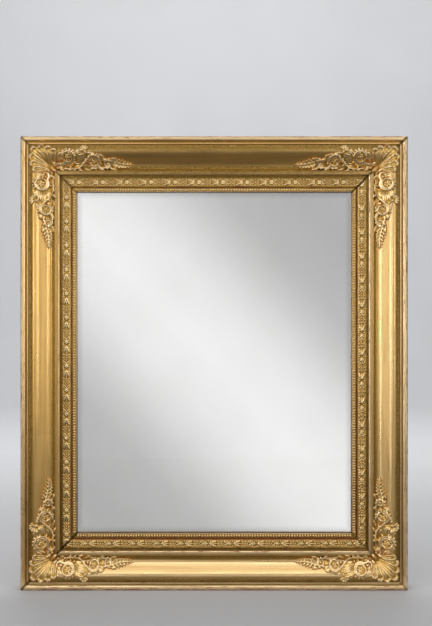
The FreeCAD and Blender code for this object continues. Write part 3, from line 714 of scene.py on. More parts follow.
# Spray, in millimetres along and inwards from the corner: centres of its scrolls and root of its shell
FIRST_SCROLL = (78.9, 35.5)
SECOND_SCROLL = (121.3, 41.9)
THIRD_SCROLL = (143.6, 45.75)
SHELL = (106.0, 24.0)
# Stems of the scrolls, each up to where it winds in, and the tail
FIRST_STEM = [(60, 45), (65, 47.8)]
SECOND_STEM = [(73.5, 52.6), (80, 53.6), (88, 53.6), (96, 52), (103, 47.2), (107.5, 41.8)]
THIRD_STEM = [(128, 49), (134, 52.4)]
TAIL_STEM = [(138, 40.2), (147, 41), (156, 44), (166, 46.2), (176, 47), (187, 47)]
# How each scroll winds: its stem, centre, first degrees, turns, outer and inner radius
SPRAY_SCROLLS = (
    (FIRST_STEM, FIRST_SCROLL, 130, -1.6, 11.4, 6.8),
    (SECOND_STEM, SECOND_SCROLL, 205, 1.45, 9.8, 5.6),
    (THIRD_STEM, THIRD_SCROLL, 112, -1.35, 6.2, 3.2),
)
# Radius of each stem at its root and its end, and height; the tail's is last
STEM_SIZES = ((2.3, 1.5, 4.4), (1.9, 1.4, 4.3), (1.7, 1.2, 4.0), (1.8, 0.8, 3.6))
# Leaves on the scrolls' stems: how many of the stem's points have them, and their length
STEM_LEAVES = ((20, 6.4), (22, 6.0), (18, 5.0))
STEM_LEAF_EVERY = 4.6
STEM_LEAF_WIDTH = 3.2
STEM_LEAF_HEIGHT = 3.2
STEM_LEAF_SPLAY = 48
# Rosettes in the scrolls: centre, radius of the disc under it and petals
SPRAY_ROSETTES = ((FIRST_SCROLL, 12.2, 6), (SECOND_SCROLL, 10.4, 5))
DISC_HEIGHT = 2.2
ROSETTE_SHARE = 0.5
ROSETTE_HEIGHT = 4.4
# Shell: degrees of its middle leaf and between leaves, their length, width and height, and their rolled ends
SHELL_LEAF_COUNT = 5
SHELL_TURN = 250
SHELL_LEAF_STEP = 36
SHELL_LEAF = (9, 5.2, 3.4)
SHELL_ROLL_REACH = 6.6
SHELL_ROLL = (5.0, 4.8, 4.4)
# Leaves of the spray: along and inwards of the root, of the tip, width, height and split
SPRAY_LEAVES = (
    (61, 45, 71, 51.5, 6.0, 3.0, 0.5),
    (61, 38, 68, 27, 6.0, 3.0, 0.5),
    (61, 42, 66, 35, 5.0, 3.2, 0.0),
    (62, 50, 72, 56.5, 5.0, 2.6, 0.0),
    (88, 30, 104, 25.5, 6.5, 3.0, 0.5),
    (90, 36, 110, 31.5, 6.5, 3.2, 0.5),
    (90, 42, 111, 38, 6.5, 3.0, 0.5),
    (88, 48, 105, 46.5, 6.0, 2.8, 0.5),
    (96, 31, 100, 22.5, 4.6, 3.0, 0.0),
    (91, 27, 97, 21.5, 4.2, 2.6, 0.0),
    (109, 29, 119, 28.5, 5.0, 3.0, 0.0),
    (104, 52, 116, 56, 5.0, 2.6, 0.0),
    (94, 55, 104, 57.5, 4.0, 2.2, 0.0),
    (127, 32, 139, 36.5, 5.4, 3.0, 0.5),
    (131, 40, 140, 38.5, 5.0, 3.0, 0.0),
    (127, 51, 139, 55.5, 5.0, 2.8, 0.0),
    (146, 52, 160, 55, 4.6, 2.8, 0.0),
    (147, 38, 158, 37.5, 4.6, 2.8, 0.0),
)
# Fringes of small leaves round the scrolls: centre, inner and outer radius, first and last degrees, count
FRINGE_SINK = 2
FRINGE_LEAN = (-8, 6)
FRINGE_LEAF = (5.0, 2.9)
SPRAY_FRINGES = (
    (FIRST_SCROLL, 11.5, 16.4, 205, 330, 6),
    (FIRST_SCROLL, 11.5, 15.0, 60, 120, 3),
    (SECOND_SCROLL, 10.0, 14.6, 235, 350, 5),
    (SECOND_SCROLL, 10.0, 13.6, 40, 110, 3),
    (THIRD_SCROLL, 6.4, 10.2, 240, 330, 3),
)
# Leaflets of the tail: along and inwards of the root, length, width and height
LEAFLET_SPLAY = 36
LEAFLET_KNOB_SHARES = (0.84, 0.8, 1.1)
SPRAY_LEAFLETS = (
    (149, 44, 12.5, 5.2, 3.2),
    (155, 45.2, 12, 5.0, 3.1),
    (161, 46, 11, 4.6, 2.9),
    (167, 46.6, 9.5, 4.2, 2.7),
    (173, 47, 8, 3.6, 2.4),
    (178.5, 47, 6, 3.0, 2.1),
)
# Knobs of the spray, and swellings under its leaves: along, inwards, turn, length, width and height
SPRAY_KNOBS = (
    (*THIRD_SCROLL, 0, 13, 13, 2.0),
    (*THIRD_SCROLL, 0, 4.6, 4.6, 3.6),
    (73, 52.6, 0, 5.4, 5.4, 4.2),
)
SPRAY_SWELLINGS = (
    (SHELL[0] + 1.5, SHELL[1] + 3.4, 70, 8, 5.6, 4.4),
    (172, 47, 0, 26, 4, 2.2),
    (112, 36, 30, 24, 14, 1.8),
    (96, 40, -5, 32, 24, 1.8),
    (136, 43.5, 12, 24, 12, 1.8),
)


def leafy(points, length):
    """Small leaves in pairs along a stem, turned forwards."""
    walked = STEM_LEAF_EVERY
    for start, end in zip(points, points[1:]):
        walked += math.dist(start, end)
        if walked < STEM_LEAF_EVERY:
            continue
        walked = 0
        heading = math.degrees(math.atan2(end[1] - start[1], end[0] - start[0]))
        for hand in (-1, 1):
            tip = around(end, length, heading + STEM_LEAF_SPLAY * hand)
            blade(end, tip, STEM_LEAF_WIDTH, STEM_LEAF_HEIGHT)


def spray_stems():
    """Stems that wind into the scrolls, and the tail, with the leaves along them."""
    scrolls = [places + spiral(*winding) for places, *winding in SPRAY_SCROLLS]
    parts = [stem(points, *sizes) for points, sizes in zip([*scrolls, TAIL_STEM], STEM_SIZES)]
    for points, (count, length) in zip(scrolls, STEM_LEAVES):
        parts.append(start_piece("stem_leaves"))
        leafy(points[:count], length)
        end_modelling()
    return parts


def scroll_leaves():
    piece = start_piece("scroll_leaves")
    for root_a, root_s, tip_a, tip_s, width, height, split in SPRAY_LEAVES:
        blade((root_a, root_s), (tip_a, tip_s), width, height, split)
    end_modelling()
    return piece


def scroll_fringes():
    piece = start_piece("scroll_fringes")
    for centre, inner, outer, first_turn, last_turn, count in SPRAY_FRINGES:
        for index in range(count):
            turn = first_turn + (last_turn - first_turn) * index / (count - 1)
            root = around(centre, inner - FRINGE_SINK, turn + FRINGE_LEAN[0])
            blade(root, around(centre, outer, turn + FRINGE_LEAN[1]), *FRINGE_LEAF)
    end_modelling()
    return piece


def tail_leaflets():
    """Leaflets in pairs, each with a knob near its tip."""
    piece = start_piece("tail_leaflets")
    place_share, width_share, height_share = LEAFLET_KNOB_SHARES
    for *root, length, width, height in SPRAY_LEAFLETS:
        for hand in (-1, 1):
            blade(root, around(root, length, hand * LEAFLET_SPLAY), width, height)
            knob = around(root, length * place_share, hand * LEAFLET_SPLAY)
            lobe(*knob, 0, width * width_share, width * width_share, height * height_share)
    end_modelling()
    return piece


def spray():
    """Scrolls, rosettes, shell and leaves that run along a rail's end from the palmette."""
    parts = [*spray_stems(), scroll_leaves(), scroll_fringes(), tail_leaflets()]
    piece = start_piece("spray")
    for centre, radius, petals in SPRAY_ROSETTES:
        lobe(*centre, 0, 2 * radius, 2 * radius, DISC_HEIGHT)
        rosette(centre, radius * ROSETTE_SHARE, petals, ROSETTE_HEIGHT)
    for knob in SPRAY_KNOBS:
        lobe(*knob)
    for index in range(SHELL_LEAF_COUNT):
        turn = SHELL_TURN + (index - SHELL_LEAF_COUNT // 2) * SHELL_LEAF_STEP
        reach, *size = SHELL_LEAF
        blade(SHELL, around(SHELL, reach, turn), *size)
        lobe(*around(SHELL, SHELL_ROLL_REACH, turn), turn, *SHELL_ROLL)
    for swelling in SPRAY_SWELLINGS:
        lobe(*swelling)
    end_modelling()
    join(piece, parts)
    cast(piece, ORNAMENT_VOXEL, ORNAMENT_KEEP_SHARE, ORNAMENT_SINK)
    drape(piece, over_mitre=False)
    return piece


def palmette_leaf(root, turn, reach):
    """Broad leaf with a channel down each half and a rolled, cleft tip."""
    for place_share, length_share, width, height in (PALMETTE_BODY, PALMETTE_RIB):
        lobe(*around(root, reach * place_share, turn), turn, reach * length_share, width, height)
    for hand in (-1, 1):
        place_share, length_share, width, height, off, splay = PALMETTE_RIM
        rim = around(around(root, reach * place_share, turn), off * hand, turn + 90)
        lobe(*rim, turn + splay * hand, reach * length_share, width, height)
        short, length, width, height, off, splay = PALMETTE_ROLL
        roll = around(around(root, reach - short, turn), off * hand, turn + 90)
        lobe(*roll, turn + splay * hand, length, width, height)
    short, *size = PALMETTE_TIP
    lobe(*around(root, reach - short, turn), turn, *size)


def calyx_lobe(root, hand, inwards, off, *size):
    lobe(root[0] + inwards + off * hand, root[1] + inwards - off * hand, 45, *size)


def palmette():
    """Fan of leaves over a mitre, the calyx at its root and its low ground."""
    root = (PALMETTE_INSET / MM, PALMETTE_INSET / MM)
    piece = start_piece("palmette")
    last = len(PALMETTE_REACH_SHARES) - 1
    for index in range(-last, last + 1):
        reach = PALMETTE_REACH / MM * PALMETTE_REACH_SHARES[abs(index)]
        palmette_leaf(root, PALMETTE_TURN + index * PALMETTE_LEAF_STEP, reach)
    for hand in (-1, 1):
        for pair in CALYX_PAIRS:
            calyx_lobe(root, hand, *pair)
    for single in (CALYX_KNOB, PALMETTE_GROUND):
        calyx_lobe(root, 1, *single)
    end_modelling()
    cast(piece, ORNAMENT_VOXEL, ORNAMENT_KEEP_SHARE, ORNAMENT_SINK)
    drape(piece, over_mitre=True)
    return piece


def sprays():
    pattern = spray()
    for side, (length, _) in SIDES.items():
        to_end = Matrix.Translation((-length / 2, 0, 0))
        for end, hand in zip(SIDE_ENDS[side], (1, -1)):
            matrix = side_matrix(side) @ Matrix.Scale(hand, 4, (1, 0, 0)) @ to_end
            piece = copy_to(pattern, f"{side}_rail_{end}_spray_cast", matrix)
            place_on_frame(piece, f"{side}_rail_{end}_spray")
    bpy.data.objects.remove(pattern)


def palmettes():
    pattern = palmette()
    middle = Matrix.Translation((0, 0, FRAME_HEIGHT / 2))
    to_corner = Matrix.Translation((-FRAME_WIDTH / 2, 0, 0))
    for upright, rise in (("bottom", 1), ("top", -1)):
        for side, hand in (("left", 1), ("right", -1)):
            flip = middle @ Matrix.Diagonal((hand, 1, rise, 1)) @ middle.inverted()
            piece = copy_to(pattern, f"{upright}_{side}_palmette_cast", flip @ to_corner)
            place_on_frame(piece, f"{upright}_{side}_palmette")
    bpy.data.objects.remove(pattern)


# Frieze

def frieze_repeat():
    """Rosette, leaf pair, collar, ringed boss and chevron of one repeat, by millimetres from the rosette."""
    middle = (FRIEZE_S + GROOVE_S) / 2 / MM
    piece = start_piece("frieze_repeat")
    rosette((0, middle), 4.5, 6, 2.0)
    lobe(9.5, middle, 0, 7.0, 2.4, 1.7)
    for hand in (-1, 1):
        lobe(5.6, middle + hand * 3.7, 0, 2.6, 2.4, 1.6)
        blade((6.8, middle + hand * 1.0), (19.4, middle + hand * 4.2), 3.0, 1.8)
        for step in range(3):
            root = (8.6 + 3.6 * step, middle + hand * (2.0 + 0.6 * step))
            blade(root, (root[0] + 1.2, middle + hand * 5.4), 2.0, 1.5)
        lobe(14.5 + hand, middle, 0, 5.0, 1.8, 1.3)
        lobe(FRIEZE_COLLAR, middle + hand * 3.4, 0, 2.8, 2.8, 1.8)
        blade((FRIEZE_CHEVRON, middle), (31.4, middle + hand * 4.6), 2.6, 1.7)
        lobe(35.8, middle + hand * 4.2, 0, 2.4, 2.2, 1.5)
    lobe(FRIEZE_COLLAR, middle, 0, 2.6, 3.0, 1.9)
    lobe(18.4, middle, 0, 2.2, 2.2, 1.5)
    for index in range(8):
        lobe(*around((FRIEZE_BOSS, middle), 3.7, 45 * index), 45 * index, 2.2, 2.6, 1.7)
    lobe(FRIEZE_BOSS, middle, 0, 3.4, 3.4, 2.0)
    end_modelling()
    return piece


def frieze_strip(length, repeat):
    """Flat casting of a whole frieze: its ground, the ridges along both edges and the row of repeats, which
    runs on into the corners."""
    count = int((length - 2 * GROOVE_S) / FRIEZE_REPEAT)
    start = -FRIEZE_REPEAT * (count - 1) / 2 - FRIEZE_REPEAT * FRIEZE_LAST_SHARE / 2
    row = copy_to(repeat, "frieze_row", Matrix.Translation((start - FRIEZE_REPEAT, 0, 0)))
    repeat_along(row, count + 2, FRIEZE_REPEAT)
    thickness = FRIEZE_TOP - FRIEZE_SEAT_DEPTH
    run = length - 2 * FRIEZE_S
    piece = start_piece("frieze_strip")
    for place, width, rise in (
        ((FRIEZE_S + GROOVE_S) / 2, GROOVE_S - FRIEZE_S, 0),
        (FRIEZE_S + FRIEZE_BORDER / 2, FRIEZE_BORDER, FRIEZE_RIDGE),
        (GROOVE_S - FRIEZE_BORDER / 2, FRIEZE_BORDER, FRIEZE_RIDGE),
    ):
        bpy.ops.mesh.primitive_cube_add(
            size=1, location=(0, place, (rise - thickness) / 2), scale=(run, width, thickness + rise),
        )
    end_modelling()
    join(piece, [row])
    cast(piece, FRIEZE_VOXEL, FRIEZE_KEEP_SHARE, thickness)
    along, across, height = points_of(piece).T
    relief_wear_and_painted_light(piece, height, FRIEZE_RELIEF, FRIEZE_DUST_AND_SHADE)
    move_points(piece, np.stack([along, BACK_Y - FRIEZE_TOP - height, across], axis=1))
    turn_out(piece)
    return piece


def friezes():
    repeat = frieze_repeat()
    for length in (FRAME_WIDTH, FRAME_HEIGHT):
        strip = frieze_strip(length, repeat)
        for side in sides_of(length):
            piece = copy_to(strip, f"{side}_frieze_cast", Matrix.Identity(4))
            keep_moulding_places(piece, points_of(piece), side)
            cut_mitres(piece, side)
            # The casting's dust and painted shade, with the mitre joints' dirt added below
            grime = values_of(piece.data.attributes["grime"].data, "value", 1)[:, 0]
            keep_values(piece, grime=with_mitre_dirt(points_of(piece), grime, side))
            piece.data.materials.append(CAST_GOLD)
            shade(piece, FRIEZE_CREASE)
            piece.data.transform(side_matrix(side))
            place_on_frame(piece, f"{side}_frieze")
        bpy.data.objects.remove(strip)
    bpy.data.objects.remove(repeat)


# Finishes

def linear(colour):
    """Linear colour of an sRGB hex value."""
    parts = [int(colour[i:i + 2], 16) / 255 for i in (1, 3, 5)]
    return [p / 12.92 if p <= 0.04045 else ((p + 0.055) / 1.055) ** 2.4 for p in parts] + [1.0]


def set_inputs(target, inputs):
    """Sets or links the sockets of a node, given by name or in order."""
    for socket, value in inputs.items() if isinstance(inputs, dict) else enumerate(inputs):
        if isinstance(value, bpy.types.NodeSocket):
            target.id_data.links.new(value, target.inputs[socket])
        else:
            target.inputs[socket].default_value = value


def node(tree, kind, inputs=(), out=0, stops=(), **settings):
    """Adds a node with its settings, inputs and the stops of its ramp, and gives one of its outputs."""
    made = tree.nodes.new("ShaderNode" + kind)
    for name, value in settings.items():
        setattr(made, name, value)
    set_inputs(made, inputs)
    if stops:
        ramp = made.color_ramp.elements
        while len(ramp) < len(stops):
            ramp.new(1.0)
        for element, (place, colour) in zip(ramp, stops):
            element.position = place
            element.color = linear(colour)
    return made.outputs[out]


def new_finish(name, steady=()):
    """Material with one surface shader, whose steady values are given, and the way to add nodes to it."""
    finish = bpy.data.materials.new(name)
    finish.use_nodes = True
    shader = finish.node_tree.nodes["Principled BSDF"]
    set_inputs(shader, steady)
    return finish, partial(node, finish.node_tree), shader


def drawn_out_patches(add, run, length, width, detail, broken=0.5):
    """Cloudy pattern in patches of this length along a moulding and this width across it."""
    drawn = add("Mapping", {"Vector": run, "Scale": (1 / length, 1 / width, 1 / width)})
    return add("TexNoise", {"Vector": drawn, "Scale": 1.0, "Detail": detail, "Roughness": broken})


# Colours mixed over the leaf: paler gold for rubbing and painted highlights, thinned gold, brown for dust and
# painted shade, and red clay
POLISH_AND_HIGHLIGHT_GOLD = "#FDDFAB"
THIN_GOLD = "#B78E48"
DUST_AND_SHADE_BROWN = "#57430E"
RED_CLAY = "#96492A"


def gilding(name, gold_deep, gold_light, grime_strength, roughness):
    """Gold leaf over red clay and gesso: warm mirror-like metal in faint squares, paler where polished by
    rubbing and where highlights are painted, dull and brown where dust sits and shade is painted, red where
    edges are worn through to the clay."""
    finish, add, shader = new_finish(name, {"Coat Weight": 0.15, "Coat Roughness": 0.16})
    run = add("Attribute", out="Vector", attribute_name="moulding")
    grime, worn, rubbed = (
        add("Attribute", out="Fac", attribute_name=kept) for kept in ("grime", "worn", "rubbed")
    )
    # Leaves of gold 80 mm wide, lapped so that 55 mm of each row shows
    leaves = add(
        "TexBrick",
        {"Vector": run, "Scale": 1.0, "Bias": 0.0, "Brick Width": 80 * MM, "Row Height": 55 * MM,
         "Color1": linear(gold_deep), "Color2": linear(gold_light), "Mortar": linear(gold_deep),
         "Mortar Size": 0.4 * MM, "Mortar Smooth": 1.0},
        offset=0.4,
    )
    # Cloudy toning, in patches of about 60 by 25 mm
    cloud = drawn_out_patches(add, run, 60 * MM, 25 * MM, 4.0, 0.6)
    # Burnishing strokes of about 120 by 4 mm, where the leaf has thinned and darkened
    strokes = drawn_out_patches(add, run, 120 * MM, 4 * MM, 3.0)
    thinned = add("MapRange", (strokes, 0.48, 0.68, 0.0, 0.35))
    # Dust and painted shade, broken up in specks of about 3 mm
    specks = add("TexNoise", {"Vector": run, "Scale": 1 / (3 * MM), "Detail": 3.0, "Roughness": 0.65})
    patchy = add("MapRange", (specks, 0.3, 0.65, 0.55, 1.0))
    darkening = add("Math", (grime, patchy), operation="MULTIPLY")
    darkening = add("Math", (darkening, grime_strength), operation="MULTIPLY", use_clamp=True)
    # Gold gone from edges, in streaks of about 18 by 2 mm
    streaks = drawn_out_patches(add, run, 18 * MM, 2.2 * MM, 5.0, 0.68)
    gone = add("Math", (streaks, worn), operation="ADD")
    gone = add("MapRange", (gone, 0.98, 1.12, 0.0, 0.85))
    colour = add("Mix", {0: cloud, 6: leaves, 7: linear(gold_light)}, 2, data_type="RGBA")
    # Paler with rubbing and painted highlights, darker with dust and painted shade, red where worn through
    for share, tone in ((rubbed, POLISH_AND_HIGHLIGHT_GOLD), (thinned, THIN_GOLD), (darkening, DUST_AND_SHADE_BROWN), (gone, RED_CLAY)):
        colour = add("Mix", {0: share, 6: colour, 7: linear(tone)}, 2, data_type="RGBA")
    dulled = add("Math", (darkening, 0.08), operation="MULTIPLY")
    cover = add("Math", (gone, dulled), operation="ADD", use_clamp=True)
    metal = add("Math", (1.0, cover), operation="SUBTRACT")
    sheen = add("MapRange", (cloud, 0.3, 0.7, roughness - 0.05, roughness + 0.06))
    rough = add("Math", (cover, 0.3, sheen), operation="MULTIPLY_ADD")
    # Hand-laid gesso: long waves of about 70 mm, and grain of about 1.5 mm, coarser than life to show
    waves = drawn_out_patches(add, run, 70 * MM, 40 * MM, 1.0)
    grain = add("TexNoise", {"Vector": run, "Scale": 1 / (1.5 * MM), "Detail": 2.0})
    bump = add("Bump", {"Height": waves, "Strength": 1.0, "Distance": 0.12 * MM})
    for height, strength, depth in ((strokes, 1.0, 0.1 * MM), (grain, 0.06, 0.15 * MM)):
        bump = add("Bump", {"Height": height, "Normal": bump, "Strength": strength, "Distance": depth})
    set_inputs(shader, {"Base Color": colour, "Metallic": metal, "Roughness": rough, "Normal": bump})
    return finish


def wood(name, dark, light, ring_width, roughness, on_rail=False):
    """Bare wood, softened and browned by age: growth rings drawn out along the grain, and fine fibre."""
    finish, add, shader = new_finish(name, {"Roughness": roughness})
    if on_rail:
        place = add("Attribute", out="Vector", attribute_name="moulding")
    else:
        place = add("TexCoord", out="Object")
    drawn = add("Mapping", {"Vector": place, "Scale": (0.03, 1.0, 1.0)})
    bend = add("TexNoise", {"Vector": drawn, "Scale": 1 / (70 * MM), "Detail": 0.5})
    rings = add("Math", (bend, 140 * MM / ring_width), operation="MULTIPLY")
    rings = add("Math", (rings,), operation="FRACT")
    fibre = add("TexNoise", {"Vector": drawn, "Scale": 1 / (1.5 * MM), "Detail": 3.0})
    grain = add("Math", (fibre, 0.9, rings), operation="MULTIPLY_ADD")
    grain = add("Math", (grain, 0.6), operation="MULTIPLY")
    tint = add("ValToRGB", (grain,), stops=((0.15, light), (0.95, dark)))
    stains = add("TexNoise", {"Vector": place, "Scale": 1 / (90 * MM), "Detail": 5.0, "Roughness": 0.6})
    aged = add("MapRange", (stains, 0.42, 0.75, 0.0, 0.55))
    colour = add("Mix", {0: aged, 6: tint, 7: linear(dark)}, 2, data_type="RGBA")
    bump = add("Bump", {"Height": grain, "Strength": 0.5, "Distance": 0.2 * MM})
    set_inputs(shader, {"Base Color": colour, "Normal": bump})
    return finish


def ochre_wash():
    """Yellow ochre size paint on the frame's outer sides: matt, thin, brushed along and rubbed to brown."""
    finish, add, shader = new_finish("ochre_wash", {"Roughness": 0.75})
    run = add("Attribute", out="Vector", attribute_name="moulding")
    brush = drawn_out_patches(add, run, 45 * MM, 3 * MM, 5.0, 0.6)
    colour = add(
        "ValToRGB", (brush,),
        stops=((0.25, "#5A3B1C"), (0.42, "#94682C"), (0.6, "#B4863C"), (0.8, "#C49A52")),
    )
    bump = add("Bump", {"Height": brush, "Strength": 0.3, "Distance": 0.2 * MM})
    set_inputs(shader, {"Base Color": colour, "Normal": bump})
    return finish


def mottled_finish(name, steady, patch, detail, broken, stops):
    """Material whose colour drifts between the stops in patches of this size."""
    finish, add, shader = new_finish(name, steady)
    place = add("TexCoord", out="Object")
    patches = add("TexNoise", {"Vector": place, "Scale": 1 / patch, "Detail": detail, "Roughness": broken})
    colour = add("ValToRGB", (patches,), stops=stops)
    set_inputs(shader, {"Base Color": colour})
    return finish, add, shader, patches, colour


def metal_fitting(name, clean, tarnish, roughness):
    """Old sheet or wire metal: soft shine, with tarnish in cloudy patches of a few millimetres."""
    finish, add, shader, patches, _ = mottled_finish(
        name, {"Metallic": 1.0}, 6 * MM, 5.0, 0.65, ((0.35, tarnish), (0.62, clean)),
    )
    rough = add("MapRange", (patches, 0.35, 0.65, roughness + 0.2, roughness))
    bump = add("Bump", {"Height": patches, "Strength": 0.15, "Distance": 0.1 * MM})
    set_inputs(shader, {"Roughness": rough, "Normal": bump})
    return finish


def plate_glass():
    """Clear plate glass, polished flat: sharp reflections and next to no colour."""
    clear = {"Roughness": 0.0, "IOR": 1.52, "Transmission Weight": 1.0, "Specular IOR Level": 0.0}
    return mottled_finish("plate_glass", clear, 180 * MM, 2.0, 0.5, ((0.3, "#FCFCFC"), (0.7, "#FEFEFE")))[0]


def silver_coat():
    """Silver on the glass's back, seen through it as the mirror: bright and neutral, with painted shade
    darkening it a little along the sight edges."""
    finish, add, shader, _, colour = mottled_finish(
        "silver_coat", {"Metallic": 1.0, "Roughness": 0.0}, 120 * MM, 4.0, 0.5,
        ((0.3, "#F4F4F3"), (0.7, "#F7F7F7")),
    )
    place = add("TexCoord", out="Object")
    # Painted shade along the sight edges
    edges = []
    for axis, middle, half in (
        ("X", 0.0, FRAME_WIDTH / 2 - RAIL_WIDTH),
        ("Z", FRAME_HEIGHT / 2, FRAME_HEIGHT / 2 - RAIL_WIDTH),
    ):
        off = add("Math", (add("SeparateXYZ", (place,), axis), middle), operation="SUBTRACT")
        off = add("Math", (off,), operation="ABSOLUTE")
        reach = (off, half - SILVER_EDGE_SHADE, half, 0.0, 0.45)
        edges.append(add("MapRange", reach, interpolation_type="SMOOTHERSTEP"))
    edge = add("Math", edges, operation="MAXIMUM")
    dulled = add("Mix", {0: edge, 6: colour, 7: linear("#B9B7B4")}, 2, data_type="RGBA")
    set_inputs(shader, {"Base Color": dulled})
    return finish


RAIL_GOLD = gilding("burnished_gold_leaf", "#E2A94A", "#EEBA5E", 0.9, 0.31)
CAST_GOLD = gilding("gold_leaf_on_composition", "#ECB652", "#F6C96C", 0.9, 0.29)
OCHRE_WASH = ochre_wash()
BARE_PINE = wood("aged_pine", "#93704A", "#BD9C72", 5 * MM, 0.8, on_rail=True)
BOARD_PINE = wood("sawn_pine_board", "#8E6B44", "#B99468", 6 * MM, 0.85)
BEECH = wood("beech_key", "#93623A", "#BD9064", 2.5 * MM, 0.7)
OLD_BRASS = metal_fitting("old_brass", "#C9A45C", "#6E5428", 0.32)
OLD_STEEL = metal_fitting("old_steel", "#9A958C", "#4A4038", 0.38)
PLATE_GLASS = plate_glass()
SILVER_COAT = silver_coat()


# Back

def eased_block(name, low, high, edge, segments):
    """Block that fills these bounds, with eased edges."""
    piece = start_piece(name)
    bpy.ops.mesh.primitive_cube_add(size=1, location=(low + high) / 2, scale=high - low)
    if edge:
        bpy.ops.mesh.bevel(offset=edge, segments=segments, affect="EDGES")
    turn_faces_out()
    end_modelling()
    return piece


def back_plank(level):
    """Sawn board of the back."""
    low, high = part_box(f"{level}_back_plank")
    piece = eased_block(f"{level}_back_board", low, high, PLANK_EASING, 3)
    piece.data.materials.append(BOARD_PINE)
    shade(piece, BOARD_CREASE)
    place_on_frame(piece, f"{level}_back_plank")


def mirror_plate():
    """Glass with eased edges, and the silver a hair's breadth behind it so that light passes between."""
    for node_name, name, finish, gap, edge in (
        ("mirror_glass", "mirror_plate", PLATE_GLASS, 0.0, GLASS_EASING),
        ("silvering", "silver_back", SILVER_COAT, SILVER_GAP, 0.0),
    ):
        low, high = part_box(node_name)
        low.y += gap
        piece = eased_block(name, low, high, edge, 2)
        piece.data.materials.append(finish)
        place_on_frame(piece, node_name)


def finish_cad_nodes():
    """Finishes of the pieces whose solids are already right, by the endings of their names."""
    for name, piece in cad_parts.items():
        for endings, finish in (
            ("glass_blocks", BOARD_PINE),
            ("_key", BEECH),
            ("_screws", OLD_STEEL),
            (("_button", "_strap", "_ring"), OLD_BRASS),
        ):
            if name.endswith(endings):
                piece.data.materials.clear()
                piece.data.materials.append(finish)


# Studio, in metres: stage, card that the mirror shows, flag that the gilding shows, and camera

STAGE_WIDTH = 10.0
STAGE_FRONT = -6.5
STAGE_BACK = 4.8
STAGE_HEIGHT = 5.0
STAGE_SWEEP = 1.4
CARD_DISTANCE = 0.47
CARD_WIDTH = 2.4
CARD_HEIGHT = 1.5
CARD_LIFT = 3 * MM
BAND_X = 0.006
BAND_Z = 0.349
BAND_SLANT = 0.94
BAND_REACH = 0.5
FLAG_FROM = 0.08
FLAG_REACH = 1.6
FLAG_WIDTH = 2.4
FLAG_LIFT = 4 * MM
FLAG_PATCH = 1 / 6
PAPER_PATCH = 0.5
MATT = {"Roughness": 0.9}
EYE_HEIGHT = 0.458
EYE_X = 0.003
EYE_DISTANCE = 1.9
LENS = 66.55


def studio_floor():
    """Pale floor that sweeps up on all sides into the backdrop."""
    middle = Vector((0, (STAGE_FRONT + STAGE_BACK) / 2, STAGE_HEIGHT / 2))
    piece = start_piece("studio_floor")
    bpy.ops.mesh.primitive_cube_add(
        size=1, location=middle, scale=(STAGE_WIDTH, STAGE_BACK - STAGE_FRONT, STAGE_HEIGHT),
    )
    bpy.ops.mesh.select_all(action="DESELECT")
    for face in bmesh.from_edit_mesh(piece.data).faces:
        face.select_set(face.normal.z > 0.5)
    bpy.ops.mesh.delete(type="FACE")
    for edge in bmesh.from_edit_mesh(piece.data).edges:
        edge.select_set(not edge.is_boundary)
    bpy.ops.mesh.bevel(offset=STAGE_SWEEP, segments=14, affect="EDGES")
    bpy.ops.mesh.select_all(action="SELECT")
    bpy.ops.mesh.normals_make_consistent(inside=True)
    end_modelling()
    bpy.ops.object.shade_smooth()
    paper = mottled_finish("studio_paper", MATT, PAPER_PATCH, 2.0, 0.5, ((0.3, "#D6D7D9"), (0.7, "#DADBDD")))
    piece.data.materials.append(paper[0])


def card(name, middle, size, tilt, finish, kind):
    """Flat card that is unseen itself and shows in one kind of reflection alone."""
    piece = start_piece(name)
    bpy.ops.mesh.primitive_plane_add(size=1, location=middle, rotation=(math.radians(tilt), 0, 0))
    bpy.ops.transform.resize(value=size, center_override=middle)
    end_modelling()
    piece.data.materials.append(finish)
    for seen in ("camera", "diffuse", "glossy", "transmission", "shadow"):
        setattr(piece, f"visible_{seen}", seen == kind)


def mirror_card():
    """White card upright in front of the frame, which the glass shows as a soft slanting band."""
    finish, add, shader = new_finish("mirror_card")
    place = add("TexCoord", out="Object")
    x, z = (add("SeparateXYZ", (place,), axis) for axis in "XZ")
    across = add("Math", (z, BAND_SLANT, x), operation="MULTIPLY_ADD")
    off = add("Math", (across, BAND_X + BAND_SLANT * BAND_Z), operation="SUBTRACT")
    off = add("Math", (off,), operation="ABSOLUTE")
    share = add("Math", (off, BAND_REACH), operation="DIVIDE")
    band = add(
        "ValToRGB", (share,),
        stops=((0.0, "#EEEEEE"), (0.25, "#E6E6E6"), (0.4, "#D8D8D8"), (0.54, "#C7C7C7"), (0.69, "#B7B7B7"),
               (1.0, "#AEAEAE")),
    )
    glow = add("Emission", {"Color": band, "Strength": 1.2})
    set_inputs(finish.node_tree.nodes["Material Output"], {"Surface": glow})
    finish.node_tree.nodes.remove(shader)
    middle = (EYE_X, -CARD_DISTANCE, CARD_HEIGHT / 2 + CARD_LIFT)
    card("mirror_card", middle, (CARD_WIDTH, 1, CARD_HEIGHT), 90, finish, "transmission")


def floor_flag():
    """Dark card flat in front of the frame, which only the gilding shows."""
    cloth = mottled_finish("floor_flag", MATT, FLAG_PATCH, 2.0, 0.5, ((0.3, "#827E79"), (0.7, "#8C8883")))
    middle = (0, -FLAG_FROM - FLAG_REACH / 2, FLAG_LIFT)
    card("floor_flag", middle, (FLAG_WIDTH, FLAG_REACH, 1), 0, cloth[0], "glossy")


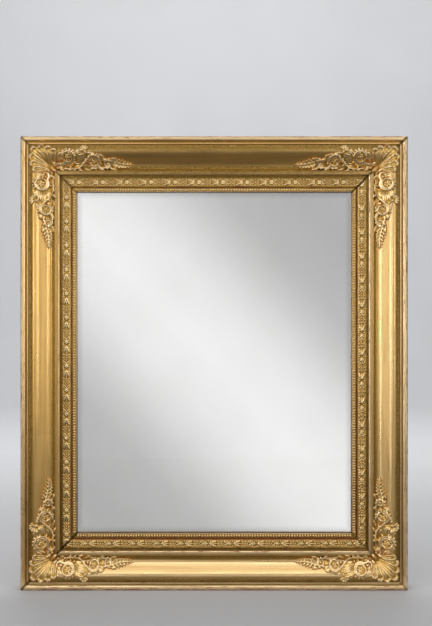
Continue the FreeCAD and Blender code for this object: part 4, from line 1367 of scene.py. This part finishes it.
# Lamps: name, place, aim, width, height, brightness, and the degrees of spread that a grid on it leaves
SOFTBOXES = (
    ("top_softbox", (0, -1.0, 1.75), (0, 0, 0.3), 2.4, 1.8, 0.66),
    ("lower_strip", (0, -0.97, 0.94), (0, 0, 0.05), 1.5, 0.22, 0.15, 50),
    ("left_strip", (-0.49, -0.85, 0.54), (0.3, 0, 0.38), 0.2, 0.9, 0.33, 50),
    ("right_strip", (0.49, -0.85, 0.65), (-0.3, 0, 0.45), 0.2, 0.8, 0.28, 50),
    ("left_edge_strip", (-0.6, -0.85, 0.65), (-0.6, 0, 0.65), 0.12, 0.8, 2.2),
    ("right_edge_strip", (0.6, -0.85, 0.65), (0.6, 0, 0.65), 0.12, 0.8, 1.4),
    ("left_side", (-1.95, -0.7, 0.65), (0, 0, 0.38), 1.1, 1.2, 0.45, 120),
    ("right_side", (1.95, -0.7, 0.65), (0, 0, 0.38), 1.1, 1.2, 0.38, 120),
    ("left_fill", (-1.3, -4.2, 0.7), (0, 0, 0.4), 1.0, 0.9, 0.5, 80),
    ("right_fill", (1.3, -4.2, 0.7), (0, 0, 0.4), 1.0, 0.9, 0.5, 80),
    ("back_softbox", (0, 1.9, 2.1), (0, 0, 0.35), 2.4, 1.4, 2.2),
    ("backdrop_softbox", (0, 2.0, 3.0), (0, 4.8, 1.0), 4.0, 1.0, 6.5),
    ("front_wall_softbox", (0, -4.4, 3.4), (0, -6.5, 1.2), 4.0, 1.0, 2.0),
    ("ceiling_softbox", (0, -0.5, 4.9), (0, -0.5, 0), 7.0, 7.0, 0.3),
)


def softbox(name, place, aim, width, height, glow, spread=180):
    """Soft lamp whose face shines with this brightness."""
    lamp = bpy.data.lights.new(name, "AREA")
    lamp.shape = "RECTANGLE"
    lamp.size = width
    lamp.size_y = height
    lamp.energy = glow * math.pi * width * height
    lamp.spread = math.radians(spread)
    piece = bpy.data.objects.new(name, lamp)
    piece.location = place
    piece.rotation_euler = (Vector(aim) - Vector(place)).to_track_quat("-Z", "Y").to_euler()
    piece.visible_camera = False
    bpy.context.scene.collection.objects.link(piece)


def studio():
    studio_floor()
    mirror_card()
    floor_flag()
    for lamp in SOFTBOXES:
        softbox(*lamp)
    world = bpy.data.worlds.new("studio")
    world.use_nodes = True
    set_inputs(world.node_tree.nodes["Background"], {"Color": linear("#8C8F94"), "Strength": 0.25})
    bpy.context.scene.world = world
    lens = bpy.data.cameras.new("camera")
    lens.lens = LENS
    camera = bpy.data.objects.new("camera", lens)
    camera.location = (EYE_X, cad_low.y - EYE_DISTANCE, EYE_HEIGHT)
    camera.rotation_euler = (math.pi / 2, 0, 0)
    bpy.context.scene.collection.objects.link(camera)
    bpy.context.scene.camera = camera
    bpy.context.scene.view_settings.view_transform = "Standard"


rails()
for side_name in SIDES:
    bead_slip(side_name)
friezes()
sprays()
palmettes()
for level_name in ("lower", "middle", "upper"):
    back_plank(level_name)
mirror_plate()
finish_cad_nodes()
studio()
